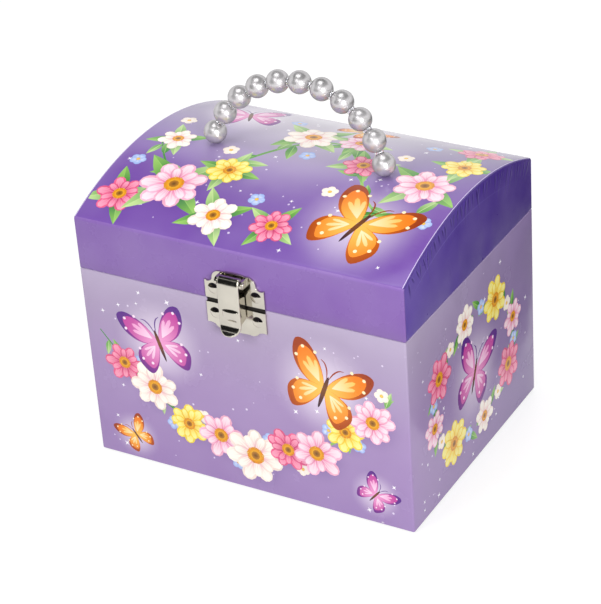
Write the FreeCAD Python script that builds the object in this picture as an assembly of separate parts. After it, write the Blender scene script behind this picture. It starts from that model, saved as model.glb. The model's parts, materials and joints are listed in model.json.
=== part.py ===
import FreeCAD, Part
import math
import os

# A paper-covered jewellery box with a domed lid, a bead handle and a stamped catch. Inside, a
# wind-up comb movement turns a dancer on the deck, and a stop rod under the lid holds it still.
# Millimetres, +Z up. The front with the catch looks along -Y and the back with the hinges and
# the winding key along +Y. The origin is the middle of the felt underside.

V = FreeCAD.Vector
X_AXIS = V(1, 0, 0)
Y_AXIS = V(0, 1, 0)
Z_AXIS = V(0, 0, 1)

# Box shell
BOX_W = 160.0
BOX_D = 125.0
BODY_H = 95.5
LIP_H = 25.0
DOME_RISE = 13.5
BOARD = 3.5
BASE_BOARD = 3.0
TOP_BOARD = 2.5
PAPER = 0.4
FELT = 0.8
FELT_INSET = 1.5
EDGE_ROUND = 0.8
SEAM_GAP = 0.4

# Inside of the box and lid
LINING = 0.8
LINING_DROP = 1.5
DECK_Z = 44.0
DECK_BOARD = 2.5
DECK_DEPTH = 38.5
DIVIDER = 2.0
DIVIDER_H = 45.0
ROLL_R = 6.0
ROLL_END_R = 4.6
ROLL_FLAT = 1.5
ROLL_GAP = 0.4
ROLLS_PER_SIDE = 3
MIRROR_DROP = 16.0
MIRROR_W = 96.0
MIRROR_D = 76.0
MIRROR_BOARD = 2.0
GLASS = 1.5

# Clearances
FIT = 0.02
RUN = 0.05
CLEAR = 0.3

# Back hinges
HINGE_X = 45.0
HINGE_L = 22.0
LEAF_T = 0.8
LEAF_H = 12.0
KNUCKLE_R = 1.9
KNUCKLE_GAP = 0.2
HINGE_PIN_R = 0.7
SCREW_R = 0.8
SCREW_L = 3.2
SCREW_HEAD_R = 1.7
SCREW_HEAD_H = 0.7
SCREW_SPREAD = 12.0
SCREW_REACH = 7.5

# Catch
CATCH_W = 29.0
PLATE_T = 1.0
PLATE_SEAM = 1.1
UPPER_SHOULDER_H = 9.7
LOWER_SHOULDER_H = 11.2
LOBE_W = 21.4
LOBE_FLAT = 12.0
UPPER_LOBE_H = 15.5
LOWER_LOBE_H = 13.4
MOON_R = 2.6
MOON_X = 10.4
MOON_UP = 6.0
MOON_LOW = 6.0
MOON_RISE = 0.9
SNAP_R = 3.6
SNAP_DROP = 1.8
PRONG_W = 1.6
PRONG_T = 0.8
PRONG_L = 3.0
HASP_W = 10.5
HASP_R = 2.6
HASP_WALL = 0.8
HASP_AXIS_H = 12.6
HASP_DROP = 6.0
HASP_ARCH = 2.2
FLANGE_TOP = 7.5
HASP_PIN_R = 0.8
HASP_HEAD_R = 1.3
HASP_HEAD_T = 0.5
EAR_T = 1.1
EAR_R = 1.9
NUB_R = 1.8
NUB_L = 6.0
NUB_DROP = 4.0
TONGUE_R = 5.0
TONGUE_TURN = 68.0
TONGUE_TIP = 4.5

# Bead handle
PEARLS = 11
PEARL_GAP = 0.42
HANDLE_SPAN = 83.7
HANDLE_RISE = 29.3
HANDLE_LEAN = 10.0
HANDLE_X = -1.9
PEARL_BORE_R = 1.0
CORD_R = 0.6
CORD_TAIL = 3.0
SPACER_R = 2.1
SPACER_GAP = 0.12
CRIMP_R = 2.5
CRIMP_H = 3.0

# Movement: bed, mainspring drum and winding arbor
MOVE_X = 0.0
MOVE_Z = 20.0
BED_T = 2.0
BED_FOOT = 1.2
BED_LEFT = 17.0
LUG_T = 1.5
LUG_R = 3.0
DRUM_R = 14.0
DRUM_L = 10.0
DRUM_WALL = 0.8
SPRING_R0 = 3.2
SPRING_T = 0.3
SPRING_TURNS = 6
SPRING_W = 7.0
ARBOR_R = 1.5
ARBOR_NOSE = 1.0
KEY_GAP = 1.5
KEY_BOSS_R = 3.0
KEY_BOSS_L = 5.0
KEY_WING_R = 6.0
KEY_WING_X = 6.6
KEY_T = 1.6
KEY_EYE_R = 2.4
KEY_HOLE_CLEAR = 1.5

# Movement: gear train
MODULE = 0.48
CROWN_TEETH = 48
PINION_TEETH = 12
CROWN_T = 1.5
FACE_W = 1.4
END_MODULE = 0.4
END_TEETH = 30
FLY_TEETH = 10
END_W = 2.0
ADDENDUM = 0.85
DEDENDUM = 1.15
TOOTH_SHARE = 0.39
PRESSURE = 20.0
AXIAL_GAP = 0.3
SIDE_GAP = 1.0

# Movement: pinned cylinder, comb and air brake
CYL_R = 6.0
CYL_L = 22.5
CYL_ARBOR_R = 1.0
NOTES = 18
PINS_PER_NOTE = 3
PIN_R = 0.22
PIN_H = 0.6
COMB_GAP = 0.15
COMB_T = 1.0
COMB_L = 13.5
COMB_HEEL = 6.5
COMB_SLOT = 0.35
COMB_EDGE = 0.4
FLY_ARBOR_R = 0.8
FAN_R = 5.5
FAN_L = 9.0
FAN_T = 0.6
FAN_HUB_R = 1.6
DISC_R = 4.0
DISC_T = 1.5

# Stop rod under the lid
ROD_R = 1.0
ROD_CLEAR = 0.3
ROD_TIP_GAP = 0.2
FOOT_T = 1.6
FOOT_REACH = 4.0
BRAKE_GAP = 0.3
STOP_SPRING_R = 1.3
STOP_WIRE_R = 0.25
STOP_TURNS = 6
STOP_SPRING_IN = 4.0

# Dancer
SPINDLE_R = 1.2
BUSH_R = 3.0
BUSH_FLANGE_R = 4.5
BUSH_FLANGE_T = 0.6
CUP_R = 5.0
CUP_H = 2.5
SEAT_R = 1.8
SEAT_H = 1.6
DANCER_COIL_R = 2.5
DANCER_WIRE_R = 0.35
DANCER_TURNS = 6
DANCER_COIL_H = 9.0
PLUG_R = 3.2
PLUG_H = 1.2
LEG_H = 22.0
LEG_R = 1.5
LEG_GAP = 1.3
TORSO_H = 11.5
WAIST_R = 2.1
CHEST_R = 3.0
HEAD_R = 3.0
BUN_R = 1.5
ARM_R = 0.8
ARM_OUT = 6.8
ARM_UP = 11.5
SKIRT_R = 11.0
SKIRT_WAVE = 0.8
SKIRT_FALL = 3.4
SKIRT_T = 1.0
SKIRT_FLUTES = 12

# Worked-out levels and faces
HALF_W = BOX_W / 2
HALF_D = BOX_D / 2
WALL_X = HALF_W - PAPER
WALL_Y = HALF_D - PAPER
IN_X = WALL_X - BOARD
IN_Y = WALL_Y - BOARD
BASE_TOP = FELT + BASE_BOARD
LID_Z0 = BODY_H + SEAM_GAP
SEAM_Z = BODY_H + SEAM_GAP / 2
LIP_TOP = LID_Z0 + LIP_H
DOME_TOP = LIP_TOP + DOME_RISE
DOME_R = (HALF_D ** 2 + DOME_RISE ** 2) / (2 * DOME_RISE)
DOME_CZ = DOME_TOP - DOME_R
LID_REACH = DOME_TOP - LID_Z0
LINING_TOP = BODY_H - LINING_DROP
DECK_TOP = DECK_Z + DECK_BOARD
STAGE_Z = DECK_TOP + LINING
DECK_FRONT = IN_Y - DECK_DEPTH
MIRROR_Z = LID_Z0 + MIRROR_DROP

HINGE_Y = HALF_D + KNUCKLE_R + CLEAR
KNUCKLE_L = (HINGE_L - 2 * KNUCKLE_GAP) / 3

PLATE_Y = -HALF_D - PLATE_T
HASP_Y = PLATE_Y - CLEAR - HASP_R
HASP_Z = SEAM_Z + HASP_AXIS_H
HASP_BOTTOM = SEAM_Z - HASP_DROP
EAR_IN = HASP_W / 2 + KNUCKLE_GAP

HANDLE_R = (HANDLE_SPAN ** 2 / 4 + HANDLE_RISE ** 2) / (2 * HANDLE_RISE)
HANDLE_HALF = math.asin(HANDLE_SPAN / 2 / HANDLE_R)
PEARL_TURN = 2 * HANDLE_HALF / (PEARLS - 1)
PEARL_D = 2 * HANDLE_R * math.sin(PEARL_TURN / 2) - PEARL_GAP
PEARL_R = PEARL_D / 2
HANDLE_Z = DOME_TOP + PEARL_R + CLEAR

CROWN_R = MODULE * CROWN_TEETH / 2
PINION_R = MODULE * PINION_TEETH / 2
BED_Y = IN_Y - BED_T
DRUM_Y = BED_Y - DRUM_L
CROWN_BACK = DRUM_Y - AXIAL_GAP
CROWN_ROOT = CROWN_BACK - CROWN_T
AXIS_Y = CROWN_ROOT - DEDENDUM * MODULE - PINION_R
LUG_A = MOVE_X + DRUM_R + SIDE_GAP
CYL_X0 = LUG_A + LUG_T + SIDE_GAP
CYL_X1 = CYL_X0 + CYL_L
END_X = CYL_X1 + SIDE_GAP
LUG_B = END_X + END_W + SIDE_GAP
FAN_X = LUG_B + LUG_T + SIDE_GAP
LUG_C = FAN_X + FAN_L + SIDE_GAP
DISC_X = LUG_C + LUG_T + SIDE_GAP
BED_RIGHT = LUG_C + LUG_T
FLY_Z = MOVE_Z - END_MODULE * (END_TEETH + FLY_TEETH) / 2
COMB_Z0 = MOVE_Z + CYL_R + PIN_H + COMB_GAP
COMB_Z1 = COMB_Z0 + COMB_L
ARM_Z0 = MOVE_Z + DRUM_R + SIDE_GAP
KEY_Y = HALF_D + KEY_GAP

ROD_X = DISC_X + DISC_T / 2
ROD_Y = IN_Y + ROD_CLEAR + ROD_R
ROD_TOP = LID_Z0 - ROD_TIP_GAP
FOOT_Z = FLY_Z + DISC_R + BRAKE_GAP

CUP_Z = STAGE_Z + BUSH_FLANGE_T + CLEAR
COIL_Z = CUP_Z + CUP_H
PLUG_Z = COIL_Z + DANCER_COIL_H + 2 * DANCER_WIRE_R
FOOT_TIP_Z = PLUG_Z + PLUG_H
HIP_Z = FOOT_TIP_Z + LEG_H
SHOULDER_Z = HIP_Z + TORSO_H
HEAD_Z = SHOULDER_Z + HEAD_R * 1.35


def box(x0, x1, y0, y1, z0, z1):
    return Part.makeBox(x1 - x0, y1 - y0, z1 - z0, V(x0, y0, z0))


def rod(start, axis, length, radius):
    return Part.makeCylinder(radius, length, start, axis)


def line(a, b):
    return Part.LineSegment(a, b).toShape()


def arc(a, middle, b):
    return Part.Arc(a, middle, b).toShape()


def prism(edges, sweep):
    return Part.Face(Part.Wire(edges)).extrude(sweep)


def loop(points):
    """Closed outline of straight lines."""
    return [line(a, b) for a, b in zip(points, points[1:] + points[:1])]


def fuse(shapes):
    solids = [solid for shape in shapes for solid in shape.Solids]
    return solids[0].multiFuse(solids[1:]).removeSplitter()


def cut_all(shape, tools):
    for tool in tools:
        shape = shape.cut(tool)
    return shape


def pair(shape):
    """The shape and its mirror image across the middle plane of the box."""
    return [shape, shape.mirror(V(0, 0, 0), X_AXIS)]


def spun(points, smooth):
    """Solid of revolution about Z from (radius, height) points, from the axis back to the axis."""
    curve = [V(r, 0, z) for r, z in points]
    if smooth:
        spline = Part.BSplineCurve()
        spline.interpolate(curve)
        edges = [spline.toShape(), line(curve[-1], curve[0])]
    else:
        edges = loop(curve)
    return Part.Face(Part.Wire(edges)).revolve(V(0, 0, 0), Z_AXIS, 360)


def screw(seat, inward):
    """Round-headed wood screw whose head sits on the point and whose shank runs inward."""
    head = rod(seat, inward * -1, SCREW_HEAD_H, SCREW_HEAD_R)
    rim = [e for e in head.Edges if abs((e.CenterOfMass - seat).dot(inward) + SCREW_HEAD_H) < FIT]
    head = head.makeFillet(SCREW_HEAD_H * 0.8, rim)
    return fuse([head, rod(seat, inward, SCREW_L, SCREW_R)])


def biarc(p0, t0, p1, t1):
    """Two tangent arcs from p0 along t0 to p1 along t1."""
    v = p1 - p0
    a = 2 * (1 - t0.dot(t1))
    b = 2 * v.dot(t0 + t1)
    c = -v.dot(v)
    d = (-b + math.sqrt(b * b - 4 * a * c)) / (2 * a)
    joint = (p0 + p1 + (t0 - t1) * d) * 0.5
    edges = []
    for start, corner, end in ((p0, p0 + t0 * d, joint), (joint, p1 - t1 * d, p1)):
        middle = (start + end) * 0.5
        chord = (end - start).Length / 2
        rise = corner - middle
        edges.append(arc(start, middle + rise * (chord / ((corner - start).Length + chord)), end))
    return edges


def coil(base, radius, height, turns, wire_r):
    """Round wire coiled about Z from the base point, as one tube on quarter-turn biarcs."""
    steps = 4 * turns
    pitch = height / turns

    def point(k):
        a = math.pi / 2 * k
        return base + V(radius * math.cos(a), radius * math.sin(a), wire_r + height * k / steps)

    def tangent(k):
        a = math.pi / 2 * k
        way = V(-math.sin(a) * radius, math.cos(a) * radius, pitch / (2 * math.pi))
        return way.normalize()

    edges = []
    for k in range(steps):
        edges += biarc(point(k), tangent(k), point(k + 1), tangent(k + 1))
    ring = Part.Wire(Part.makeCircle(wire_r, point(0), tangent(0)))
    print("coil gap to itself: %.2f mm" % (pitch - 2 * wire_r))
    return Part.Wire(edges).makePipeShell([ring], True, False)


def gear(teeth, module, width, start, axis, toward, tooth_there):
    """Involute spur gear from the start point along the axis. A tooth or a space faces toward."""
    pitch_r = module * teeth / 2
    base_r = pitch_r * math.cos(math.radians(PRESSURE))
    tip_r = pitch_r + ADDENDUM * module
    root_r = pitch_r - DEDENDUM * module
    pitch_angle = math.radians(PRESSURE)
    at_pitch = math.tan(pitch_angle) - pitch_angle

    def half(r):
        a = math.acos(min(1, base_r / r))
        return TOOTH_SHARE * math.pi / teeth + at_pitch - math.tan(a) + a

    def at(r, angle):
        return V(r * math.cos(angle), r * math.sin(angle), 0)

    step = 2 * math.pi / teeth
    first = 0 if tooth_there else step / 2
    foot_r = max(base_r, root_r)
    mid_r = (foot_r + tip_r) / 2
    edges = []
    for k in range(teeth):
        c = first + k * step
        if root_r < base_r:
            edges.append(line(at(root_r, c - half(foot_r)), at(foot_r, c - half(foot_r))))
        rise = [at(r, c - half(r)) for r in (foot_r, mid_r, tip_r)]
        fall = [at(r, c + half(r)) for r in (tip_r, mid_r, foot_r)]
        edges.append(arc(*rise))
        edges.append(arc(rise[2], at(tip_r, c), fall[0]))
        edges.append(arc(*fall))
        if root_r < base_r:
            edges.append(line(fall[2], at(root_r, c + half(foot_r))))
        root = [at(root_r, c + a) for a in (half(foot_r), step / 2, step - half(foot_r))]
        edges.append(arc(*root))
    wheel = prism(edges, V(0, 0, width))
    turn = FreeCAD.Rotation(toward, axis.cross(toward), axis, "ZXY")
    wheel.Placement = FreeCAD.Placement(start, turn)
    return wheel


def lid_prism(side_in, top_in, x_reach, z0):
    """Cross-section of the lid, inset from its sides and its dome, swept across the box."""
    y = HALF_D - side_in
    r = DOME_R - top_in
    z = DOME_CZ + math.sqrt(r * r - y * y)
    a = V(-x_reach, -y, z0)
    b = V(-x_reach, -y, z)
    c = V(-x_reach, y, z)
    d = V(-x_reach, y, z0)
    edges = [line(a, b), arc(b, V(-x_reach, 0, DOME_CZ + r), c), line(c, d), line(d, a)]
    return prism(edges, V(2 * x_reach, 0, 0))


def upright_edges(shape, x_reach, y_reach):
    """Vertical edges at the four corners of a box of that reach."""
    found = []
    for edge in shape.Edges:
        c = edge.CenterOfMass
        if abs(abs(c.x) - x_reach) < FIT and abs(abs(c.y) - y_reach) < FIT:
            found.append(edge)
    return found


def body_shell():
    front = box(-WALL_X, WALL_X, -WALL_Y, -IN_Y, BASE_TOP, BODY_H)
    back = box(-WALL_X, WALL_X, IN_Y, WALL_Y, BASE_TOP, BODY_H)
    side = box(IN_X, WALL_X, -IN_Y, IN_Y, BASE_TOP, BODY_H)
    groove = ROD_R + ROD_CLEAR
    back = back.cut(box(ROD_X - groove, ROD_X + groove, IN_Y, ROD_Y + groove, BASE_TOP, BODY_H))
    key_hole = rod(V(MOVE_X, IN_Y, MOVE_Z), Y_AXIS, BOARD + PAPER, ARBOR_R + KEY_HOLE_CLEAR)
    outside = box(-HALF_W, HALF_W, -HALF_D, HALF_D, FELT, BODY_H)
    outside = outside.makeFillet(EDGE_ROUND, upright_edges(outside, HALF_W, HALF_D))
    wrap = outside.cut(box(-WALL_X, WALL_X, -WALL_Y, WALL_Y, FELT, BODY_H))
    base = box(-WALL_X, WALL_X, -WALL_Y, WALL_Y, FELT, BASE_TOP)
    felt_x = HALF_W - FELT_INSET
    felt_y = HALF_D - FELT_INSET
    felt = box(-felt_x, felt_x, -felt_y, felt_y, 0, FELT)
    pins = prongs(-1) + hinge_screws(-1)
    right, left = pair(side)
    return {
        "front_panel": cut_all(front, pins),
        "back_panel": cut_all(back.cut(key_hole), pins + bed_screws()),
        "right_panel": right,
        "left_panel": left,
        "bottom_panel": base,
        "base_felt": felt,
        "body_wrap": cut_all(wrap.cut(key_hole), pins),
    }


def lid_shell():
    under = lid_prism(PAPER, PAPER + TOP_BOARD, WALL_X, LID_Z0)
    rail = box(-WALL_X, WALL_X, -WALL_Y, -IN_Y, LID_Z0, DOME_TOP).common(under)
    back = box(-WALL_X, WALL_X, IN_Y, WALL_Y, LID_Z0, DOME_TOP).common(under)
    end = box(IN_X, WALL_X, -IN_Y, IN_Y, LID_Z0, DOME_TOP).common(under)
    inside = lid_prism(PAPER, PAPER, WALL_X, LID_Z0)
    top = inside.cut(under)
    outside = lid_prism(0, 0, HALF_W, LID_Z0)
    outside = outside.makeFillet(EDGE_ROUND, upright_edges(outside, HALF_W, HALF_D))
    wrap = outside.cut(inside)
    holes = []
    for x in (HANDLE_X - HANDLE_SPAN / 2, HANDLE_X + HANDLE_SPAN / 2):
        holes.append(rod(V(x, 0, LIP_TOP), Z_AXIS, LID_REACH, CORD_R + RUN))
    pins = prongs(1) + hinge_screws(1)
    right, left = pair(end)
    shelf = box(-IN_X, IN_X, -IN_Y, IN_Y, MIRROR_Z, MIRROR_Z + MIRROR_BOARD)
    glass_x = MIRROR_W / 2
    glass_y = MIRROR_D / 2
    mirror = box(-glass_x, glass_x, -glass_y, glass_y, MIRROR_Z - GLASS, MIRROR_Z)
    corners = [e for e in mirror.Edges if e.BoundBox.ZLength > GLASS / 2]
    return {
        "lid_front_rail": cut_all(rail, pins),
        "lid_back_rail": cut_all(back, pins),
        "lid_right_end": right,
        "lid_left_end": left,
        "lid_top": cut_all(top, holes),
        "lid_wrap": cut_all(wrap, holes + pins),
        "mirror_board": shelf,
        "mirror": mirror.makeFillet(BOARD, corners),
    }


def interior():
    floor_z = BASE_TOP + LINING
    tray = box(-IN_X, IN_X, -IN_Y, DECK_FRONT, BASE_TOP, LINING_TOP)
    tray_x = IN_X - LINING
    tray_y0 = -IN_Y + LINING
    tray_y1 = DECK_FRONT - LINING
    tray_hole = box(-tray_x, tray_x, tray_y0, tray_y1, floor_z, LINING_TOP)
    spare = box(-IN_X, IN_X, DECK_FRONT - LINING, DECK_FRONT, DECK_TOP, LINING_TOP)
    riser = box(-IN_X, IN_X, DECK_FRONT, DECK_FRONT + DECK_BOARD, BASE_TOP, DECK_Z)
    bush_hole = rod(V(MOVE_X, AXIS_Y, DECK_Z), Z_AXIS, DECK_BOARD + LINING, BUSH_R + FIT)
    deck = box(-IN_X, IN_X, DECK_FRONT, IN_Y, DECK_Z, DECK_TOP).cut(bush_hole)
    stage = box(-IN_X, IN_X, DECK_FRONT, IN_Y, DECK_TOP, LINING_TOP)
    stage_hole = box(-IN_X + LINING, IN_X - LINING, DECK_FRONT, IN_Y - LINING, STAGE_Z, LINING_TOP)
    divider = box(-DIVIDER / 2, DIVIDER / 2, tray_y0, tray_y1, floor_z, floor_z + DIVIDER_H)
    long_edges = [e for e in divider.Edges if e.BoundBox.YLength > DECK_DEPTH / 2]
    ridge = [e for e in long_edges if e.CenterOfMass.z > floor_z + DIVIDER_H / 2]
    nodes = {
        "tray_lining": tray.cut(tray_hole).cut(spare),
        "deck_riser": riser,
        "deck_board": deck,
        "deck_lining": stage.cut(stage_hole).cut(bush_hole),
        "tray_divider": divider.makeFillet(DIVIDER * 0.45, ridge),
    }
    y0 = DECK_FRONT + ROLL_GAP
    length = IN_Y - LINING - ROLL_GAP - y0
    for k in range(ROLLS_PER_SIDE):
        x = IN_X - LINING - ROLL_GAP - ROLL_R - k * (2 * ROLL_R + ROLL_GAP)
        right, left = pair(ring_roll(x, y0, length))
        nodes["ring_roll_right_%d" % (k + 1)] = right
        nodes["ring_roll_left_%d" % (k + 1)] = left
    return nodes


def ring_roll(x, y0, length):
    """Stuffed roll with a crowned middle, drawn-in ends and a flat where it is glued down."""
    z = STAGE_Z + ROLL_R - ROLL_FLAT
    a = V(x + ROLL_END_R, y0 + ROLL_END_R / 2, z)
    b = V(x + ROLL_END_R, y0 + length - ROLL_END_R / 2, z)
    start = V(x, y0, z)
    end = V(x, y0 + length, z)
    bend = ROLL_END_R * 0.75
    edges = [
        arc(start, V(x + bend, y0 + ROLL_END_R * 0.14, z), a),
        arc(a, V(x + ROLL_R, y0 + length / 2, z), b),
        arc(b, V(x + bend, y0 + length - ROLL_END_R * 0.14, z), end),
        line(end, start),
    ]
    roll = Part.Face(Part.Wire(edges)).revolve(start, Y_AXIS, 360)
    return roll.cut(box(x - ROLL_R, x + ROLL_R, y0, y0 + length, z - ROLL_R, STAGE_Z))


def hinge_screws(side):
    """Two screws in each leaf, below the seam for side -1 and above it for side 1."""
    z = SEAM_Z + side * SCREW_REACH
    screws = []
    for x in (HINGE_X - SCREW_SPREAD / 2, HINGE_X + SCREW_SPREAD / 2):
        screws += pair(screw(V(x, HALF_D + LEAF_T, z), Y_AXIS * -1))
    return screws


def hinge_leaf(side):
    """Leaf of the right hinge: the body leaf has the outer knuckles, the lid leaf the middle."""
    x0 = HINGE_X - HINGE_L / 2
    near = KNUCKLE_R + CLEAR
    z0, z1 = sorted((SEAM_Z + side * near, SEAM_Z + side * LEAF_H))
    leaf = box(x0, x0 + HINGE_L, HALF_D, HALF_D + LEAF_T, z0, z1)
    outer = side * SEAM_Z + LEAF_H
    across = [e for e in leaf.Edges if e.BoundBox.YLength > LEAF_T / 2]
    ends = [e for e in across if abs(side * e.CenterOfMass.z - outer) < FIT]
    parts = [leaf.makeFillet(near, ends)]
    step = KNUCKLE_L + KNUCKLE_GAP
    for k in ((0, 2) if side < 0 else (1,)):
        x = x0 + k * step
        parts.append(rod(V(x, HINGE_Y, SEAM_Z), X_AXIS, KNUCKLE_L, KNUCKLE_R))
        w0, w1 = sorted((SEAM_Z, SEAM_Z + side * near))
        parts.append(box(x, x + KNUCKLE_L, HALF_D + CLEAR, HALF_D + LEAF_T, w0, w1))
    bore = rod(V(x0, HINGE_Y, SEAM_Z), X_AXIS, HINGE_L, HINGE_PIN_R + RUN)
    return cut_all(fuse(parts).cut(bore), hinge_screws(side))


def hinges():
    pin = rod(V(HINGE_X - HINGE_L / 2, HINGE_Y, SEAM_Z), X_AXIS, HINGE_L, HINGE_PIN_R)
    return {
        "hinge_leaves_body": Part.Compound(pair(hinge_leaf(-1))),
        "hinge_leaves_lid": Part.Compound(pair(hinge_leaf(1))),
        "hinge_pins": Part.Compound(pair(pin)),
        "hinge_screws_body": Part.Compound(hinge_screws(-1)),
        "hinge_screws_lid": Part.Compound(hinge_screws(1)),
    }


def prongs(side):
    """Four-sided spikes behind a catch plate, driven through the paper into the board."""
    spikes = []
    z = louver_z(side) - MOON_R / 2
    corners = ((-1, -1), (1, -1), (1, 1), (-1, 1))
    for x in (-MOON_X, MOON_X):
        foot = [V(x + i * PRONG_W / 2, -HALF_D, z + j * PRONG_T / 2) for i, j in corners]
        tip = [V(x + i * PRONG_W / 8, PRONG_L - HALF_D, z + j * PRONG_T / 8) for i, j in corners]
        spikes.append(Part.makeLoft([Part.Wire(loop(foot)), Part.Wire(loop(tip))], True, True))
    return spikes


def louver_z(side):
    return SEAM_Z + (MOON_UP if side > 0 else -MOON_LOW)


def louver(sheet, x, z, radius, y_face, thick):
    """Round bump lanced out of a sheet's front face, open along its straight upper edge."""
    lip = z + radius / 4
    ball_r = (radius ** 2 + MOON_RISE ** 2) / (2 * MOON_RISE)
    ball = Part.makeSphere(ball_r, V(x, y_face + ball_r - MOON_RISE, z))
    reach = 2 * radius
    cap = ball.common(box(x - reach, x + reach, y_face - MOON_RISE, y_face + thick / 4, z - reach, lip))
    window = rod(V(x, y_face - thick, z), Y_AXIS, 3 * thick, radius)
    window = window.cut(box(x - reach, x + reach, y_face - thick, y_face + 2 * thick, z - reach, lip))
    return fuse([sheet, cap]).cut(window)


def catch_plate(side, shoulder_h, lobe_h):
    """Stamped plate with square shoulders and one flattened lobe away from the seam."""
    def at(x, h):
        return V(x, PLATE_Y, SEAM_Z + side * h)

    half = CATCH_W / 2
    neck = LOBE_W / 2
    flat = LOBE_FLAT / 2
    dip = (half + neck) / 2
    rise = lobe_h - shoulder_h
    low = shoulder_h + rise / 5
    crown = lobe_h - rise / 10
    bend_x = neck - (neck - flat) / 4
    bend_h = crown - (crown - low) / 4
    edges = [
        line(at(-half, PLATE_SEAM), at(half, PLATE_SEAM)),
        line(at(half, PLATE_SEAM), at(half, shoulder_h)),
        arc(at(half, shoulder_h), at(dip, shoulder_h - rise / 12), at(neck, low)),
        arc(at(neck, low), at(bend_x, bend_h), at(flat, crown)),
        arc(at(flat, crown), at(0, lobe_h), at(-flat, crown)),
        arc(at(-flat, crown), at(-bend_x, bend_h), at(-neck, low)),
        arc(at(-neck, low), at(-dip, shoulder_h - rise / 12), at(-half, shoulder_h)),
        line(at(-half, shoulder_h), at(-half, PLATE_SEAM)),
    ]
    plate = prism(edges, V(0, PLATE_T, 0))
    for x in (-MOON_X, MOON_X):
        plate = louver(plate, x, louver_z(side), MOON_R, PLATE_Y, PLATE_T)
    return fuse([plate] + prongs(side))


def catch():
    lower = catch_plate(-1, LOWER_SHOULDER_H, LOWER_LOBE_H)
    nub = rod(V(-NUB_L / 2, PLATE_Y, SEAM_Z - NUB_DROP), X_AXIS, NUB_L, NUB_R)
    ends = [e for e in nub.Edges if abs(abs(e.CenterOfMass.x) - NUB_L / 2) < FIT]
    nub = nub.makeFillet(NUB_R / 2, ends)
    nub_z = SEAM_Z - NUB_DROP
    nub = nub.cut(box(-NUB_L, NUB_L, PLATE_Y, PLATE_Y + 2 * NUB_R, nub_z - 2 * NUB_R, SEAM_Z))
    low_back = V(EAR_IN, PLATE_Y, HASP_Z - EAR_R)
    low_front = V(EAR_IN, HASP_Y, HASP_Z - EAR_R)
    nose = V(EAR_IN, HASP_Y - EAR_R, HASP_Z)
    high_front = V(EAR_IN, HASP_Y, HASP_Z + EAR_R)
    high_back = V(EAR_IN, PLATE_Y, HASP_Z + EAR_R)
    ear_face = [
        line(low_back, low_front),
        arc(low_front, nose, high_front),
        line(high_front, high_back),
        line(high_back, low_back),
    ]
    ear = prism(ear_face, V(EAR_T, 0, 0))
    reach = EAR_IN + EAR_T
    bore = rod(V(-reach, HASP_Y, HASP_Z), X_AXIS, 2 * reach, HASP_PIN_R + RUN)
    upper = fuse([catch_plate(1, UPPER_SHOULDER_H, UPPER_LOBE_H)] + pair(ear)).cut(bore)
    pin = rod(V(-reach - RUN, HASP_Y, HASP_Z), X_AXIS, 2 * (reach + RUN), HASP_PIN_R)
    head = rod(V(reach + RUN, HASP_Y, HASP_Z), X_AXIS, HASP_HEAD_T, HASP_HEAD_R)
    outer = [e for e in head.Edges if e.CenterOfMass.x > reach + RUN + HASP_HEAD_T / 2]
    head = head.makeFillet(HASP_HEAD_T * 0.8, outer)
    return {
        "catch_upper_plate": upper,
        "catch_lower_plate": fuse([lower, nub]),
        "catch_hasp": hasp(),
        "catch_pin": fuse([pin] + pair(head)),
    }


def hasp_section(radius, x_reach):
    """Strap seen from the side: a roll about the pin over straight front and back faces."""
    def at(y, z):
        return V(-x_reach, HASP_Y + y, z)

    edges = [
        arc(at(-radius, HASP_Z), at(0, HASP_Z + radius), at(radius, HASP_Z)),
        line(at(radius, HASP_Z), at(radius, HASP_BOTTOM)),
        line(at(radius, HASP_BOTTOM), at(-radius, HASP_BOTTOM)),
        line(at(-radius, HASP_BOTTOM), at(-radius, HASP_Z)),
    ]
    return prism(edges, V(2 * x_reach, 0, 0))


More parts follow.
